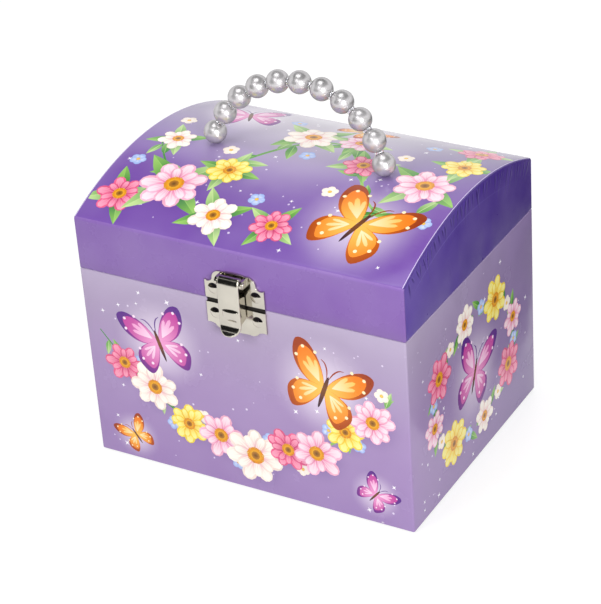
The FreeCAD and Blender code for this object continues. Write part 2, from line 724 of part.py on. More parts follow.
def hasp():
    """Channel strap rolled over the pin, with a snap crescent and a flared finger tongue."""
    inner_r = HASP_R - HASP_WALL
    inner_x = HASP_W / 2 - HASP_WALL
    strap = hasp_section(HASP_R, HASP_W / 2).cut(hasp_section(inner_r, inner_x))
    strap = strap.cut(box(-inner_x, inner_x, HASP_Y, HASP_Y + HASP_R, HASP_BOTTOM, HASP_Z))
    flange_z = SEAM_Z + FLANGE_TOP
    notch = box(-HASP_W, HASP_W, HASP_Y - inner_r, HASP_Y + HASP_R, flange_z, HASP_Z - HASP_R)
    half = HASP_W / 2
    corner = HASP_Z + HASP_ARCH
    y = HASP_Y - HASP_R
    arch = [
        line(V(-half, y, HASP_BOTTOM), V(-half, y, corner)),
        arc(V(-half, y, corner), V(0, y, HASP_Z + HASP_R), V(half, y, corner)),
        line(V(half, y, corner), V(half, y, HASP_BOTTOM)),
        line(V(half, y, HASP_BOTTOM), V(-half, y, HASP_BOTTOM)),
    ]
    strap = strap.cut(notch).common(prism(arch, V(0, 2 * HASP_R, 0)))
    strap = louver(strap, 0, SEAM_Z - SNAP_DROP, SNAP_R, HASP_Y - HASP_R, HASP_WALL)
    strap = strap.cut(rod(V(-HASP_W, HASP_Y, HASP_Z), X_AXIS, 2 * HASP_W, HASP_PIN_R + RUN))
    turn = math.radians(TONGUE_TURN)
    cy = HASP_Y - HASP_R - TONGUE_R

    def at(radius, angle):
        return V(-HASP_W / 2, cy + radius * math.cos(angle), HASP_BOTTOM - radius * math.sin(angle))

    thick_r = TONGUE_R + HASP_WALL
    flare = [
        arc(at(TONGUE_R, 0), at(TONGUE_R, turn / 2), at(TONGUE_R, turn)),
        line(at(TONGUE_R, turn), at(thick_r, turn)),
        arc(at(thick_r, turn), at(thick_r, turn / 2), at(thick_r, 0)),
        line(at(thick_r, 0), at(TONGUE_R, 0)),
    ]
    sheet = prism(flare, V(HASP_W, 0, 0))
    y0 = cy - TONGUE_R
    a = V(-HASP_W / 2, y0, HASP_BOTTOM)
    b = V(HASP_W / 2, y0, HASP_BOTTOM)
    bill = prism([arc(a, V(0, y0, HASP_BOTTOM - TONGUE_TIP), b), line(b, a)], V(0, 4 * TONGUE_R, 0))
    return strap.Solids[0].multiFuse(sheet.common(bill).Solids)


def handle_point(angle, radius):
    """Point on the leaning arch, at an angle from its crown."""
    up = HANDLE_RISE - HANDLE_R + radius * math.cos(angle)
    lean = math.radians(HANDLE_LEAN)
    x = HANDLE_X + radius * math.sin(angle)
    return V(x, up * math.sin(lean), HANDLE_Z + up * math.cos(lean))


def handle():
    lean = math.radians(HANDLE_LEAN)
    across = V(0, math.cos(lean), -math.sin(lean))
    angles = [-HANDLE_HALF + k * PEARL_TURN for k in range(PEARLS)]
    centres = [handle_point(angle, HANDLE_R) for angle in angles]
    pearls = []
    for angle, centre in zip(angles, centres):
        outward = handle_point(angle, HANDLE_R + PEARL_R) - centre
        along = across.cross(outward).normalize()
        bore = rod(centre - along * PEARL_D, along, 2 * PEARL_D, PEARL_BORE_R)
        pearls.append(Part.makeSphere(PEARL_R, centre).cut(bore))
    spacers = []
    for a, b in zip(centres, centres[1:]):
        middle = (a + b) * 0.5
        ball = Part.makeSphere(SPACER_R, middle)
        ball = ball.cut(Part.makeSphere(PEARL_R + SPACER_GAP, a))
        ball = ball.cut(Part.makeSphere(PEARL_R + SPACER_GAP, b))
        way = (b - a).normalize()
        spacers.append(ball.cut(rod(middle - way * SPACER_R, way, 2 * SPACER_R, PEARL_BORE_R)))
    reach = HANDLE_HALF + CORD_TAIL / HANDLE_R
    path = arc(*[handle_point(angle, HANDLE_R) for angle in (-reach, 0, reach)])
    start = path.FirstParameter
    ring = Part.Wire(Part.makeCircle(CORD_R, path.valueAt(start), path.tangentAt(start)))
    cord = Part.Wire(path).makePipeShell([ring], True, False)
    tails = []
    crimp_z = DOME_TOP - PAPER - TOP_BOARD - RUN
    for s in (-1, 1):
        x = HANDLE_X + s * HANDLE_SPAN / 2
        tail = rod(V(x, 0, crimp_z), Z_AXIS, DOME_TOP + CLEAR / 2 - crimp_z, CORD_R)
        tails.append(fuse([rod(V(x, 0, crimp_z - CRIMP_H), Z_AXIS, CRIMP_H, CRIMP_R), tail]))
    return {
        "handle_pearls": Part.Compound(pearls),
        "handle_spacers": Part.Compound(spacers),
        "handle_cord": cord,
        "handle_crimps": Part.Compound(tails),
    }


def bed_screws():
    y = BED_Y
    low = BASE_TOP + BED_FOOT + SCREW_HEAD_R + SIDE_GAP
    high = COMB_Z1 - SCREW_HEAD_R - SIDE_GAP
    left = MOVE_X - BED_LEFT + SCREW_HEAD_R + SIDE_GAP / 2
    right = BED_RIGHT - SCREW_HEAD_R - SIDE_GAP
    return [screw(V(x, y, z), Y_AXIS) for x, z in ((left, low), (left, high), (right, high))]


def comb_screws():
    z = COMB_Z1 - COMB_HEEL / 2
    y = AXIS_Y - COMB_T / 2
    span = CYL_X1 - CYL_X0
    return [screw(V(CYL_X0 + span * k / 6, y, z), Y_AXIS) for k in (1, 3, 5)]


def lug(x, z0, z1):
    """Bearing arm that stands off the bed and carries arbors on the cylinder's axis plane."""
    return box(x, x + LUG_T, AXIS_Y - LUG_R, BED_Y, z0, z1)


def movement_frame():
    bed = box(MOVE_X - BED_LEFT, BED_RIGHT, BED_Y, IN_Y, BASE_TOP + BED_FOOT, COMB_Z1)
    heel_z = COMB_Z1 - COMB_HEEL
    comb_y = AXIS_Y + COMB_T / 2
    block = box(CYL_X0 + COMB_EDGE, CYL_X1 - COMB_EDGE, comb_y, BED_Y, heel_z, COMB_Z1)
    arm = box(MOVE_X - LUG_R, MOVE_X + LUG_R, AXIS_Y - LUG_R, BED_Y, ARM_Z0, ARM_Z0 + LUG_T)
    lugs = [
        lug(LUG_A, MOVE_Z - LUG_R, MOVE_Z + LUG_R),
        lug(LUG_B, FLY_Z - LUG_R, MOVE_Z + LUG_R),
        lug(LUG_C, FLY_Z - LUG_R, FLY_Z + LUG_R),
    ]
    frame = fuse([bed, block, arm] + lugs)
    reach = BED_RIGHT - LUG_A
    bores = [
        rod(V(LUG_A, AXIS_Y, MOVE_Z), X_AXIS, reach, CYL_ARBOR_R + RUN),
        rod(V(LUG_B, AXIS_Y, FLY_Z), X_AXIS, reach, FLY_ARBOR_R + RUN),
        rod(V(MOVE_X, AXIS_Y, ARM_Z0), Z_AXIS, LUG_T, SPINDLE_R + RUN),
        rod(V(MOVE_X, BED_Y, MOVE_Z), Y_AXIS, BED_T, ARBOR_R + RUN),
    ]
    return cut_all(frame, bores + bed_screws() + comb_screws())


def mainspring():
    """Flat strip wound in half circles of growing radius."""
    halves = 2 * SPRING_TURNS
    grow = (DRUM_R - DRUM_WALL - SPRING_R0 - 2 * SPRING_T) / (halves + 1)
    y = BED_Y - DRUM_L / 2 - SPRING_W / 2

    def half(k, inset):
        sign = 1 if k % 2 == 0 else -1
        cx = MOVE_X if k % 2 == 0 else MOVE_X + grow
        r = SPRING_R0 + k * grow - inset
        return V(cx + sign * r, y, MOVE_Z), V(cx, y, MOVE_Z + sign * r), V(cx - sign * r, y, MOVE_Z)

    outer = [half(k, 0) for k in range(halves)]
    inner = [half(k, SPRING_T) for k in range(halves)]
    edges = [arc(*points) for points in outer]
    edges.append(line(outer[-1][2], inner[-1][2]))
    edges += [arc(*points[::-1]) for points in inner[::-1]]
    edges.append(line(inner[0][0], outer[0][0]))
    return prism(edges, V(0, SPRING_W, 0))


def drum():
    shell = rod(V(MOVE_X, DRUM_Y, MOVE_Z), Y_AXIS, DRUM_L, DRUM_R)
    rim = [e for e in shell.Edges if e.BoundBox.YLength < FIT and e.CenterOfMass.y < DRUM_Y + FIT]
    shell = shell.makeFillet(DRUM_WALL, rim)
    room = rod(V(MOVE_X, DRUM_Y + DRUM_WALL, MOVE_Z), Y_AXIS, DRUM_L, DRUM_R - DRUM_WALL)
    shell = shell.cut(room)
    return shell.cut(rod(V(MOVE_X, DRUM_Y, MOVE_Z), Y_AXIS, DRUM_L, ARBOR_R + RUN))


def crown_wheel():
    """Disc with straight-sided teeth standing on its front face."""
    pitch = math.pi * MODULE
    slope = math.tan(math.radians(PRESSURE))
    half = TOOTH_SHARE * pitch / 2
    low = half + DEDENDUM * MODULE * slope
    high = half - ADDENDUM * MODULE * slope
    tall = (ADDENDUM + DEDENDUM) * MODULE
    x0 = CROWN_R - FACE_W / 2
    profile = [V(x0, 0, -low), V(x0, 0, low), V(x0, -tall, high), V(x0, -tall, -high)]
    tooth = prism(loop(profile), V(FACE_W, 0, 0))
    teeth = []
    for k in range(CROWN_TEETH):
        copy = tooth.copy()
        copy.rotate(V(0, 0, 0), Y_AXIS, 360.0 * k / CROWN_TEETH)
        copy.translate(V(MOVE_X, CROWN_ROOT, MOVE_Z))
        teeth.append(copy)
    disc = rod(V(MOVE_X, CROWN_ROOT, MOVE_Z), Y_AXIS, CROWN_T, CROWN_R + FACE_W)
    wheel = disc.multiFuse(teeth)
    return wheel.cut(rod(V(MOVE_X, CROWN_ROOT, MOVE_Z), Y_AXIS, CROWN_T, ARBOR_R + FIT))


def winding_key():
    """Butterfly key: two pierced wings on a round boss."""
    z = MOVE_Z - KEY_T / 2
    wing_y = KEY_Y + KEY_BOSS_L + KEY_WING_R / 2
    wing = rod(V(KEY_WING_X, wing_y, z), Z_AXIS, KEY_T, KEY_WING_R)
    eye = rod(V(KEY_WING_X, wing_y, z), Z_AXIS, KEY_T, KEY_EYE_R)
    neck = box(-KEY_WING_X, KEY_WING_X, wing_y - KEY_BOSS_R, wing_y + KEY_BOSS_R, z, z + KEY_T)
    sheet = cut_all(fuse([neck] + pair(wing)), pair(eye))
    sheet.translate(V(MOVE_X, 0, 0))
    boss = rod(V(MOVE_X, KEY_Y, MOVE_Z), Y_AXIS, KEY_BOSS_L + KEY_WING_R / 2, KEY_BOSS_R)
    key = fuse([boss, sheet])
    return key.cut(rod(V(MOVE_X, KEY_Y, MOVE_Z), Y_AXIS, KEY_BOSS_L, ARBOR_R + FIT))


def cylinder():
    drum_body = rod(V(CYL_X0, AXIS_Y, MOVE_Z), X_AXIS, CYL_L, CYL_R)
    pitch = CYL_L / (NOTES + 1)
    pins = []
    for note in range(NOTES):
        for beat in range(PINS_PER_NOTE):
            a = math.radians(137.5 * note + 360.0 * beat / PINS_PER_NOTE + 23.0 * (note % 3))
            out = V(0, math.cos(a), math.sin(a))
            foot = V(CYL_X0 + pitch * (note + 1), AXIS_Y, MOVE_Z) + out * (CYL_R - PIN_H)
            pins.append(rod(foot, out, 2 * PIN_H, PIN_R))
    body = drum_body.multiFuse(pins)
    return body.cut(rod(V(CYL_X0, AXIS_Y, MOVE_Z), X_AXIS, CYL_L, CYL_ARBOR_R + FIT))


def comb():
    """Steel comb with one tooth for each row of pins, slit deeper towards the long low notes."""
    x0 = CYL_X0 + COMB_EDGE
    x1 = CYL_X1 - COMB_EDGE
    plate = box(x0, x1, AXIS_Y - COMB_T / 2, AXIS_Y + COMB_T / 2, COMB_Z0, COMB_Z1)
    pitch = CYL_L / (NOTES + 1)
    slots = []
    for k in range(NOTES - 1):
        x = CYL_X0 + pitch * (k + 1.5) - COMB_SLOT / 2
        free = COMB_Z0 + (COMB_L - COMB_HEEL) * (1 - 0.4 * k / NOTES)
        slots.append(box(x, x + COMB_SLOT, AXIS_Y - COMB_T, AXIS_Y + COMB_T, COMB_Z0, free))
    return cut_all(cut_all(plate, slots), comb_screws())


def movement():
    axis = V(0, AXIS_Y, MOVE_Z)
    face_x = MOVE_X + CROWN_R - FACE_W / 2
    pinion = gear(PINION_TEETH, MODULE, FACE_W, axis + V(face_x, 0, 0), X_AXIS, Y_AXIS, False)
    end_gear = gear(END_TEETH, END_MODULE, END_W, axis + V(END_X, 0, 0), X_AXIS, Z_AXIS * -1, True)
    fly_axis = V(0, AXIS_Y, FLY_Z)
    fly_end = fly_axis + V(END_X, 0, 0)
    fly_pinion = gear(FLY_TEETH, END_MODULE, END_W, fly_end, X_AXIS, Z_AXIS, False)
    cyl_arbor = rod(axis + V(face_x, 0, 0), X_AXIS, FAN_X - SIDE_GAP / 2 - face_x, CYL_ARBOR_R)
    fly_arbor = rod(fly_end, X_AXIS, DISC_X + DISC_T - END_X, FLY_ARBOR_R)
    fly_bore = rod(fly_axis + V(FAN_X, 0, 0), X_AXIS, FAN_L, FLY_ARBOR_R + FIT)
    hub = rod(fly_axis + V(FAN_X, 0, 0), X_AXIS, FAN_L, FAN_HUB_R)
    blade_z = FLY_Z - FAN_T / 2
    blade = box(FAN_X, FAN_X + FAN_L, AXIS_Y - FAN_R, AXIS_Y + FAN_R, blade_z, blade_z + FAN_T)
    disc = rod(fly_axis + V(DISC_X, 0, 0), X_AXIS, DISC_T, DISC_R)
    nose_y = CROWN_ROOT - ARBOR_NOSE
    arbor_l = KEY_Y + KEY_BOSS_L - nose_y
    return {
        "movement_frame": movement_frame(),
        "movement_screws": Part.Compound(bed_screws() + comb_screws()),
        "comb": comb(),
        "spring_drum": drum(),
        "mainspring": mainspring(),
        "winding_arbor": rod(V(MOVE_X, nose_y, MOVE_Z), Y_AXIS, arbor_l, ARBOR_R),
        "crown_wheel": crown_wheel(),
        "winding_key": winding_key(),
        "pin_cylinder": cylinder(),
        "cylinder_arbor": fuse([cyl_arbor, pinion, end_gear]),
        "fly_arbor": fuse([fly_arbor, fly_pinion, disc]),
        "fly_fan": fuse([hub, blade]).cut(fly_bore),
    }


def stop_rod():
    """Rod in a groove of the back panel, with a foot that reaches over the brake disc."""
    stem = rod(V(ROD_X, ROD_Y, FOOT_Z), Z_AXIS, ROD_TOP - FOOT_Z, ROD_R)
    half = DISC_T / 2
    foot = box(ROD_X - half, ROD_X + half, AXIS_Y - FOOT_REACH, ROD_Y, FOOT_Z, FOOT_Z + FOOT_T)
    spring_y = BED_Y - STOP_SPRING_IN
    seat = rod(V(ROD_X, spring_y, FOOT_Z), Z_AXIS, FOOT_T, STOP_SPRING_R)
    room = FOOT_Z - BASE_TOP - 2 * STOP_WIRE_R
    spring_foot = V(ROD_X, spring_y, BASE_TOP)
    spring = coil(spring_foot, STOP_SPRING_R, room, STOP_TURNS, STOP_WIRE_R)
    return {"stop_rod": fuse([stem, foot, seat]), "stop_spring": spring}


def dancer():
    middle = V(MOVE_X, AXIS_Y, 0)
    face_z = MOVE_Z + CROWN_R - FACE_W / 2
    spindle = rod(middle + V(0, 0, face_z), Z_AXIS, CUP_Z + CUP_H / 2 - face_z, SPINDLE_R)
    pinion = gear(PINION_TEETH, MODULE, FACE_W, middle + V(0, 0, face_z), Z_AXIS, Y_AXIS, False)
    bush = rod(middle + V(0, 0, DECK_Z), Z_AXIS, DECK_BOARD + LINING, BUSH_R)
    flange = rod(middle + V(0, 0, STAGE_Z), Z_AXIS, BUSH_FLANGE_T, BUSH_FLANGE_R)
    bush_bore = rod(middle + V(0, 0, DECK_Z), Z_AXIS, CUP_Z - DECK_Z, SPINDLE_R + RUN)
    cup_edge = CUP_H * 0.4
    cup_line = [
        (0, 0),
        (CUP_R, 0),
        (CUP_R, CUP_H - cup_edge),
        (CUP_R - cup_edge, CUP_H),
        (SEAT_R, CUP_H),
        (SEAT_R, CUP_H + SEAT_H),
        (0, CUP_H + SEAT_H),
    ]
    cup = spun(cup_line, False)
    cup.translate(middle + V(0, 0, CUP_Z))
    cup = cup.cut(rod(middle + V(0, 0, CUP_Z), Z_AXIS, CUP_H / 2, SPINDLE_R + FIT))
    foot = middle + V(0, 0, COIL_Z)
    spring = coil(foot, DANCER_COIL_R, DANCER_COIL_H, DANCER_TURNS, DANCER_WIRE_R)
    return {
        "dancer_bush": fuse([bush, flange]).cut(bush_bore),
        "dancer_spindle": fuse([spindle, pinion]),
        "dancer_cup": cup,
        "dancer_spring": spring,
        "dancer_figure": figure(middle),
        "dancer_skirt": skirt(middle),
    }


def figure(middle):
    """Moulded dancer on the points of her shoes with both arms rounded over her head."""
    plug = rod(middle + V(0, 0, PLUG_Z), Z_AXIS, PLUG_H, PLUG_R)
    seat = rod(middle + V(0, 0, PLUG_Z - SEAT_H), Z_AXIS, SEAT_H, SEAT_R)
    leg_line = [(0, 0), (0.35, 0.02), (0.55, 0.15), (0.85, 0.32)]
    leg_line += [(0.7, 0.46), (1.0, 0.7), (1.1, 0.95), (0, 1)]
    leg = spun([(r * LEG_R, h * (LEG_H + WAIST_R)) for r, h in leg_line], True)
    leg.translate(middle + V(LEG_GAP, 0, FOOT_TIP_Z - PLUG_H / 4))
    other = leg.copy()
    other.translate(V(-2 * LEG_GAP, 0, 0))
    hip = WAIST_R * 1.25
    neck = HEAD_R * 0.35
    neck_top = SHOULDER_Z + HEAD_R - HIP_Z
    torso_line = [
        (0, 0),
        (hip, TORSO_H * 0.12),
        (WAIST_R, TORSO_H * 0.38),
        (CHEST_R, TORSO_H * 0.75),
        (CHEST_R * 0.85, TORSO_H * 0.95),
        (neck, TORSO_H * 1.06),
        (neck, neck_top),
        (0, neck_top),
    ]
    torso = spun(torso_line, False)
    torso.translate(middle + V(0, 0, HIP_Z))
    head = Part.makeSphere(HEAD_R, middle + V(0, 0, HEAD_Z))
    bun = Part.makeSphere(BUN_R, middle + V(0, HEAD_R * 0.7, HEAD_Z + HEAD_R * 0.8))
    parts = [plug, seat, leg, other, torso, head, bun]
    for s in (-1, 1):
        a = middle + V(s * CHEST_R * 0.8, 0, SHOULDER_Z - ARM_R)
        b = middle + V(s * ARM_OUT, 0, SHOULDER_Z + ARM_UP * 0.5)
        c = middle + V(s * ARM_R, 0, SHOULDER_Z + ARM_UP)
        path = arc(a, b, c)
        way = path.tangentAt(path.FirstParameter)
        ring = Part.Wire(Part.makeCircle(ARM_R, a, way))
        parts.append(Part.Wire(path).makePipeShell([ring], True, False))
        parts.append(Part.makeSphere(ARM_R, c))
    return fuse(parts)


def skirt(middle):
    """Short stiff skirt whose rim waves in and out in flutes."""
    count = 2 * SKIRT_FLUTES
    top = HIP_Z + TORSO_H * 0.38

    def ring(radius, wave, z):
        def at(k, r):
            a = 2 * math.pi * k / count
            return middle + V(r * math.cos(a), r * math.sin(a), z)

        edges = []
        for k in range(count):
            flute = at(k, radius + wave * (-1) ** k)
            edges.append(arc(at(k - 0.5, radius), flute, at(k + 0.5, radius)))
        return Part.Wire(edges)

    def cone(z):
        rim = ring(SKIRT_R, SKIRT_WAVE, z - SKIRT_FALL)
        waist = ring(WAIST_R * 1.35 + SKIRT_T, 0, z)
        return Part.makeLoft([rim, waist], True, True)

    bore = rod(middle + V(0, 0, top - 2 * SKIRT_FALL), Z_AXIS, 4 * SKIRT_FALL, WAIST_R * 1.25 + RUN)
    return cone(top).cut(cone(top - SKIRT_T)).cut(bore)


def build():
    nodes = {}
    outside = (body_shell, lid_shell, hinges, catch, handle)
    inside = (interior, movement, stop_rod, dancer)
    for group in outside + inside:
        nodes.update(group())
    return nodes


def main():
    os.makedirs("parts", exist_ok=True)
    nodes = build()
    for name, shape in nodes.items():
        shape.exportStep("parts/%s.step" % name)
        facts = (name, len(shape.Solids), shape.Volume, shape.isValid())
        print("%s: %d solid(s), %.1f mm3, valid %s" % facts)
    print("%d nodes" % len(nodes))


if __name__ == "__main__":
    main()
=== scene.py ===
# %% [markdown]
# # A music box covered in printed paper
# The real object is a small board box with a domed lid. Glossy printed paper is pasted over the
# boards, a stamped nickel catch closes the front, and a string of pearl beads is the handle.
# Inside are a lined tray, ring rolls, a mirror and a dancer who turns on a wind-up movement.
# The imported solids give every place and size, so this lesson only adds surfaces and finishes.

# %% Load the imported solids
import json
import math

import bpy
import numpy as np
from mathutils import Matrix, Vector
from mathutils.geometry import delaunay_2d_cdt


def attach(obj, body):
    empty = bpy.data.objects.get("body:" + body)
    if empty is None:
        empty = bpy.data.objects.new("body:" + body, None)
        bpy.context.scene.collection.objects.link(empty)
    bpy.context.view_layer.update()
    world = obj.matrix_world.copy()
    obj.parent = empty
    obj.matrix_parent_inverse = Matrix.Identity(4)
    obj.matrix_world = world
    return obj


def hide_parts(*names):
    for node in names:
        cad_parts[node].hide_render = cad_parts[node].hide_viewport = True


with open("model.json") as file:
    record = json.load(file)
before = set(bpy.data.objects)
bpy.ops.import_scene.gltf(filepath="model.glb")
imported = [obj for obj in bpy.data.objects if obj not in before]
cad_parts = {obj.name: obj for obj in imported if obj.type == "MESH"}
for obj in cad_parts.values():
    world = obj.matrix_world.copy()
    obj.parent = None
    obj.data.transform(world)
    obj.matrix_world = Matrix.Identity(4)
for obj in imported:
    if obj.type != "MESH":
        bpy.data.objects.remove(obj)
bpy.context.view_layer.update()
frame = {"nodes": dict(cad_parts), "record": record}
NODES = frame["nodes"]
MM = 0.001
scene = bpy.context.scene
scene.view_settings.view_transform = "Standard"

# %% [markdown]
# ## Camera
# A camera comes first, because every later choice is judged through it. It could be aimed by eye
# with a Track To constraint. Here its turn, height, lean and focal length were worked out from the
# straight edges of the box, so the matrix is written down directly from those angles.

# %% Camera at the photograph's viewing angle
PHOTO_W = 601
PHOTO_H = 604
FOCAL_PX = 2261.0
AZIMUTH = math.radians(31.32)
ELEVATION = math.radians(30.48)
ROLL = math.radians(-4.21)
EYE = Vector((0.45070, -0.75129, 0.57867))


def in_scene(name, data):
    """New object in the scene with that data."""
    made = bpy.data.objects.new(name, data)
    scene.collection.objects.link(made)
    return made


back = Vector((
    math.sin(AZIMUTH) * math.cos(ELEVATION),
    -math.cos(AZIMUTH) * math.cos(ELEVATION),
    math.sin(ELEVATION),
))
level = Vector((math.cos(AZIMUTH), math.sin(AZIMUTH), 0))
upright = back.cross(level)
right = level * math.cos(ROLL) + upright * math.sin(ROLL)
top = upright * math.cos(ROLL) - level * math.sin(ROLL)
camera_data = bpy.data.cameras.new("photo_camera")
camera_data.lens = camera_data.sensor_width * FOCAL_PX / max(PHOTO_W, PHOTO_H)
camera_data.clip_start = 0.01
camera = in_scene("photo_camera", camera_data)
camera.matrix_world = Matrix.Translation(EYE) @ Matrix((right, top, back)).transposed().to_4x4()
scene.camera = camera
print(f"camera lens {camera_data.lens:.1f} mm, {EYE.length:.2f} m from the box")

# %% [markdown]
# ## Node helpers
# A finish in Blender is a small graph of nodes. Writing each graph by hand is long, so two short
# helpers place a node and start a finish. Colours are written as the hex codes a printer would use
# and turned into the linear values that the renderer works in.

# %% Helpers for finishes


def ink(code, alpha=1.0):
    """Linear colour of a printer's hex code."""
    parts = [int(code[i:i + 2], 16) / 255 for i in (1, 3, 5)]
    return tuple(((c + 0.055) / 1.055) ** 2.4 if c > 0.04045 else c / 12.92 for c in parts) + (alpha,)


def place(tree, kind, sockets=(), **settings):
    """New node of that kind; a socket's value is a constant or another node's output."""
    made = tree.nodes.new("ShaderNode" + kind)
    for key, value in settings.items():
        setattr(made, key, value)
    for key, value in dict(sockets).items():
        if isinstance(value, bpy.types.NodeSocket):
            tree.links.new(value, made.inputs[key])
        else:
            made.inputs[key].default_value = value
    return made


def new_finish(name, colour, roughness, **sockets):
    """Material with a Principled shader, its node tree and that shader."""
    made = bpy.data.materials.new(name)
    made.use_nodes = True
    shader = made.node_tree.nodes["Principled BSDF"]
    shader.inputs["Base Color"].default_value = colour
    shader.inputs["Roughness"].default_value = roughness
    for key, value in sockets.items():
        shader.inputs[key.replace("_", " ")].default_value = value
    return made, made.node_tree, shader


print("deep lilac in linear light:", [round(c, 3) for c in ink("#7049A2")])

# %% [markdown]
# ## Uneven surfaces
# No real surface has one colour and one gloss all over. These helpers lead a noise, which changes
# from place to place, into the colour, the polish and the relief of a finish. An image would do
# this too, but a noise has no seams and no limit of size.

# %% Helpers for uneven surfaces


def surface_point(tree, stretch=(1, 1, 1)):
    """Place on the piece, in metres, stretched along its axes."""
    where = place(tree, "TexCoord").outputs["Object"]
    return place(tree, "Mapping", {"Vector": where, "Scale": stretch}).outputs["Vector"]


def noise(tree, scale, detail=3.0, stretch=(1, 1, 1)):
    where = surface_point(tree, stretch)
    return place(tree, "TexNoise", {"Vector": where, "Scale": scale, "Detail": detail}).outputs["Fac"]


def between(tree, value, low, high, start=0.3, end=0.7, **settings):
    """A value carried from one span to another."""
    spans = {"Value": value, "From Min": start, "From Max": end, "To Min": low, "To Max": high}
    return place(tree, "MapRange", spans, **settings).outputs["Result"]


def blend(tree, share, first, second):
    """Mix of two colours, each a socket or a constant."""
    return place(tree, "Mix", {"Factor": share, 6: first, 7: second}, data_type="RGBA").outputs[2]


def bump(shader, height, depth, strength, under=None):
    """Relief of that depth in metres on the shader, over another relief if there is one."""
    tree = shader.id_data
    relief = {"Height": height, "Distance": depth, "Strength": strength}
    if under is not None:
        relief["Normal"] = under
    made = place(tree, "Bump", relief).outputs["Normal"]
    tree.links.new(made, shader.inputs["Normal"])
    return made


def tint(shader, share, first, second):
    """Base colour that wanders between two colours."""
    tree = shader.id_data
    tree.links.new(blend(tree, share, first, second), shader.inputs["Base Color"])


def polish(shader, grain, low, high, start=0.3, end=0.7):
    """Roughness that wanders between two values."""
    tree = shader.id_data
    tree.links.new(between(tree, grain, low, high, start, end), shader.inputs["Roughness"])


print("colour, polish and relief can wander")

# %% [markdown]
# ## Backdrop
# The box stands before plain white. A white backdrop could be made by overexposing it, but then the
# colours of the box wash out. Instead the world is white only to rays from the camera and to
# reflections, and its soft light stays at a plain level.

# %% World
AMBIENT = 0.38


def seen_rays(tree):
    """One for rays of the camera, of reflections and through glass, and nought for soft light."""
    path = place(tree, "LightPath").outputs
    found = path["Is Camera Ray"]
    for other in ("Is Glossy Ray", "Is Transmission Ray"):
        found = place(tree, "Math", {0: found, 1: path[other]}, operation="MAXIMUM").outputs[0]
    return found


world = bpy.data.worlds.new("studio")
scene.world = world
world.use_nodes = True
tree = world.node_tree
background = tree.nodes["Background"]
background.inputs["Color"].default_value = (1, 1, 1, 1)
tree.links.new(between(tree, seen_rays(tree), AMBIENT, 1.0, 0.0, 1.0), background.inputs["Strength"])
print(f"world: ambient {AMBIENT}")

# %% [markdown]
# ## Floor
# The floor carries the shadow of the box and nothing else. It gives off just enough light of its own
# to look white, and the grey under that light keeps the shadow soft. A backdrop bent up behind the
# box would do as well, but a flat sheet needs no care from any side.

# %% Floor
FLOOR_GLOW = 0.72
FLOOR_GREY = 0.35
FLOOR_SIZE = 30.0

bpy.ops.mesh.primitive_grid_add(x_subdivisions=2, y_subdivisions=2, size=FLOOR_SIZE)
floor = bpy.context.object
floor.name = "floor"
grey = (FLOOR_GREY, FLOOR_GREY, FLOOR_GREY, 1)
floor_finish, tree, shader = new_finish(
    "sweep", grey, 0.9, Specular_IOR_Level=0.0, Emission_Color=(1, 1, 1, 1))
tree.links.new(between(tree, seen_rays(tree), 0.0, FLOOR_GLOW, 0.0, 1.0), shader.inputs["Emission Strength"])
floor.data.materials.append(floor_finish)
print(f"floor {FLOOR_SIZE:.0f} m wide, glow {FLOOR_GLOW}")

# %% [markdown]
# ## Lamps
# Four soft boxes light the box: a key from the left, one above, one behind and a small one beside
# the camera that lifts the right side. Disc lamps are the plain choice, because their size sets how
# soft a shadow is. Their power is low, so that an ink renders about as it is written.

# %% Lamps
LAMPS = (
    ("soft_box_left", (-0.6, -1.25, 0.95), (0, 0, 0.07), 0.8, 9.7),
    ("soft_box_top", (-0.1, -0.1, 1.25), (0, 0, 0.1), 0.7, 3.7),
    ("soft_box_back", (-0.45, 1.25, 0.75), (0, 0, 0.07), 0.7, 5.6),
    ("soft_box_camera", (0.8, -0.75, 0.45), (0.08, -0.06, 0.07), 0.4, 9.2),
)


def stand(made, place_at, way):
    """Sets an object at a place, its own Z turned a way."""
    made.location = place_at
    made.rotation_mode = "QUATERNION"
    made.rotation_quaternion = way.to_track_quat("Z", "Y")


def lamp(name, place_at, aim, size, watts):
    """Round soft box at a place, turned to its aim."""
    light = bpy.data.lights.new(name, "AREA")
    light.shape = "DISK"
    light.size = size
    light.energy = watts
    stand(in_scene(name, light), place_at, Vector(place_at) - Vector(aim))


for row in LAMPS:
    lamp(*row)
print(f"{len(LAMPS)} lamps, {sum(row[-1] for row in LAMPS):.1f} W in all")

# %% [markdown]
# ## Drawing the print
# The paper carries a printed picture. An image texture would be the usual way, but this file holds
# no pictures, so the print is drawn as outlines in millimetres on the flat sheet: petals, leaves,
# wings, dots. Each outline has a soft paint that runs from one colour at its heart to another at
# its reach. Later a triangulation cuts the sheet along all these outlines at once.

# %% Curves


def curve_leg(a, b, c, d, count):
    """Points of a Catmull-Rom curve from b up to c, shaped by the points before and after."""
    t = np.linspace(0, 1, count, endpoint=False)[:, None]
    return b + 0.5 * t * (c - a + t * (2 * a - 5 * b + 4 * c - d + t * (3 * (b - c) + d - a)))


def closed_curve(points, per_leg=4):
    """Smooth closed outline through the points."""
    p = np.array(points, float)
    ring = [np.roll(p, shift, 0) for shift in (1, 0, -1, -2)]
    return np.concatenate([curve_leg(*four, per_leg) for four in zip(*ring)])


def smooth_path(points, per_leg=6):
    """Smooth open curve through rows of numbers."""
    p = np.array(points, float)
    p = np.concatenate([[2 * p[0] - p[1]], p, [2 * p[-1] - p[-2]]])
    legs = [curve_leg(*four, per_leg) for four in zip(p, p[1:], p[2:], p[3:])]
    return np.concatenate(legs + [p[-2:-1]])


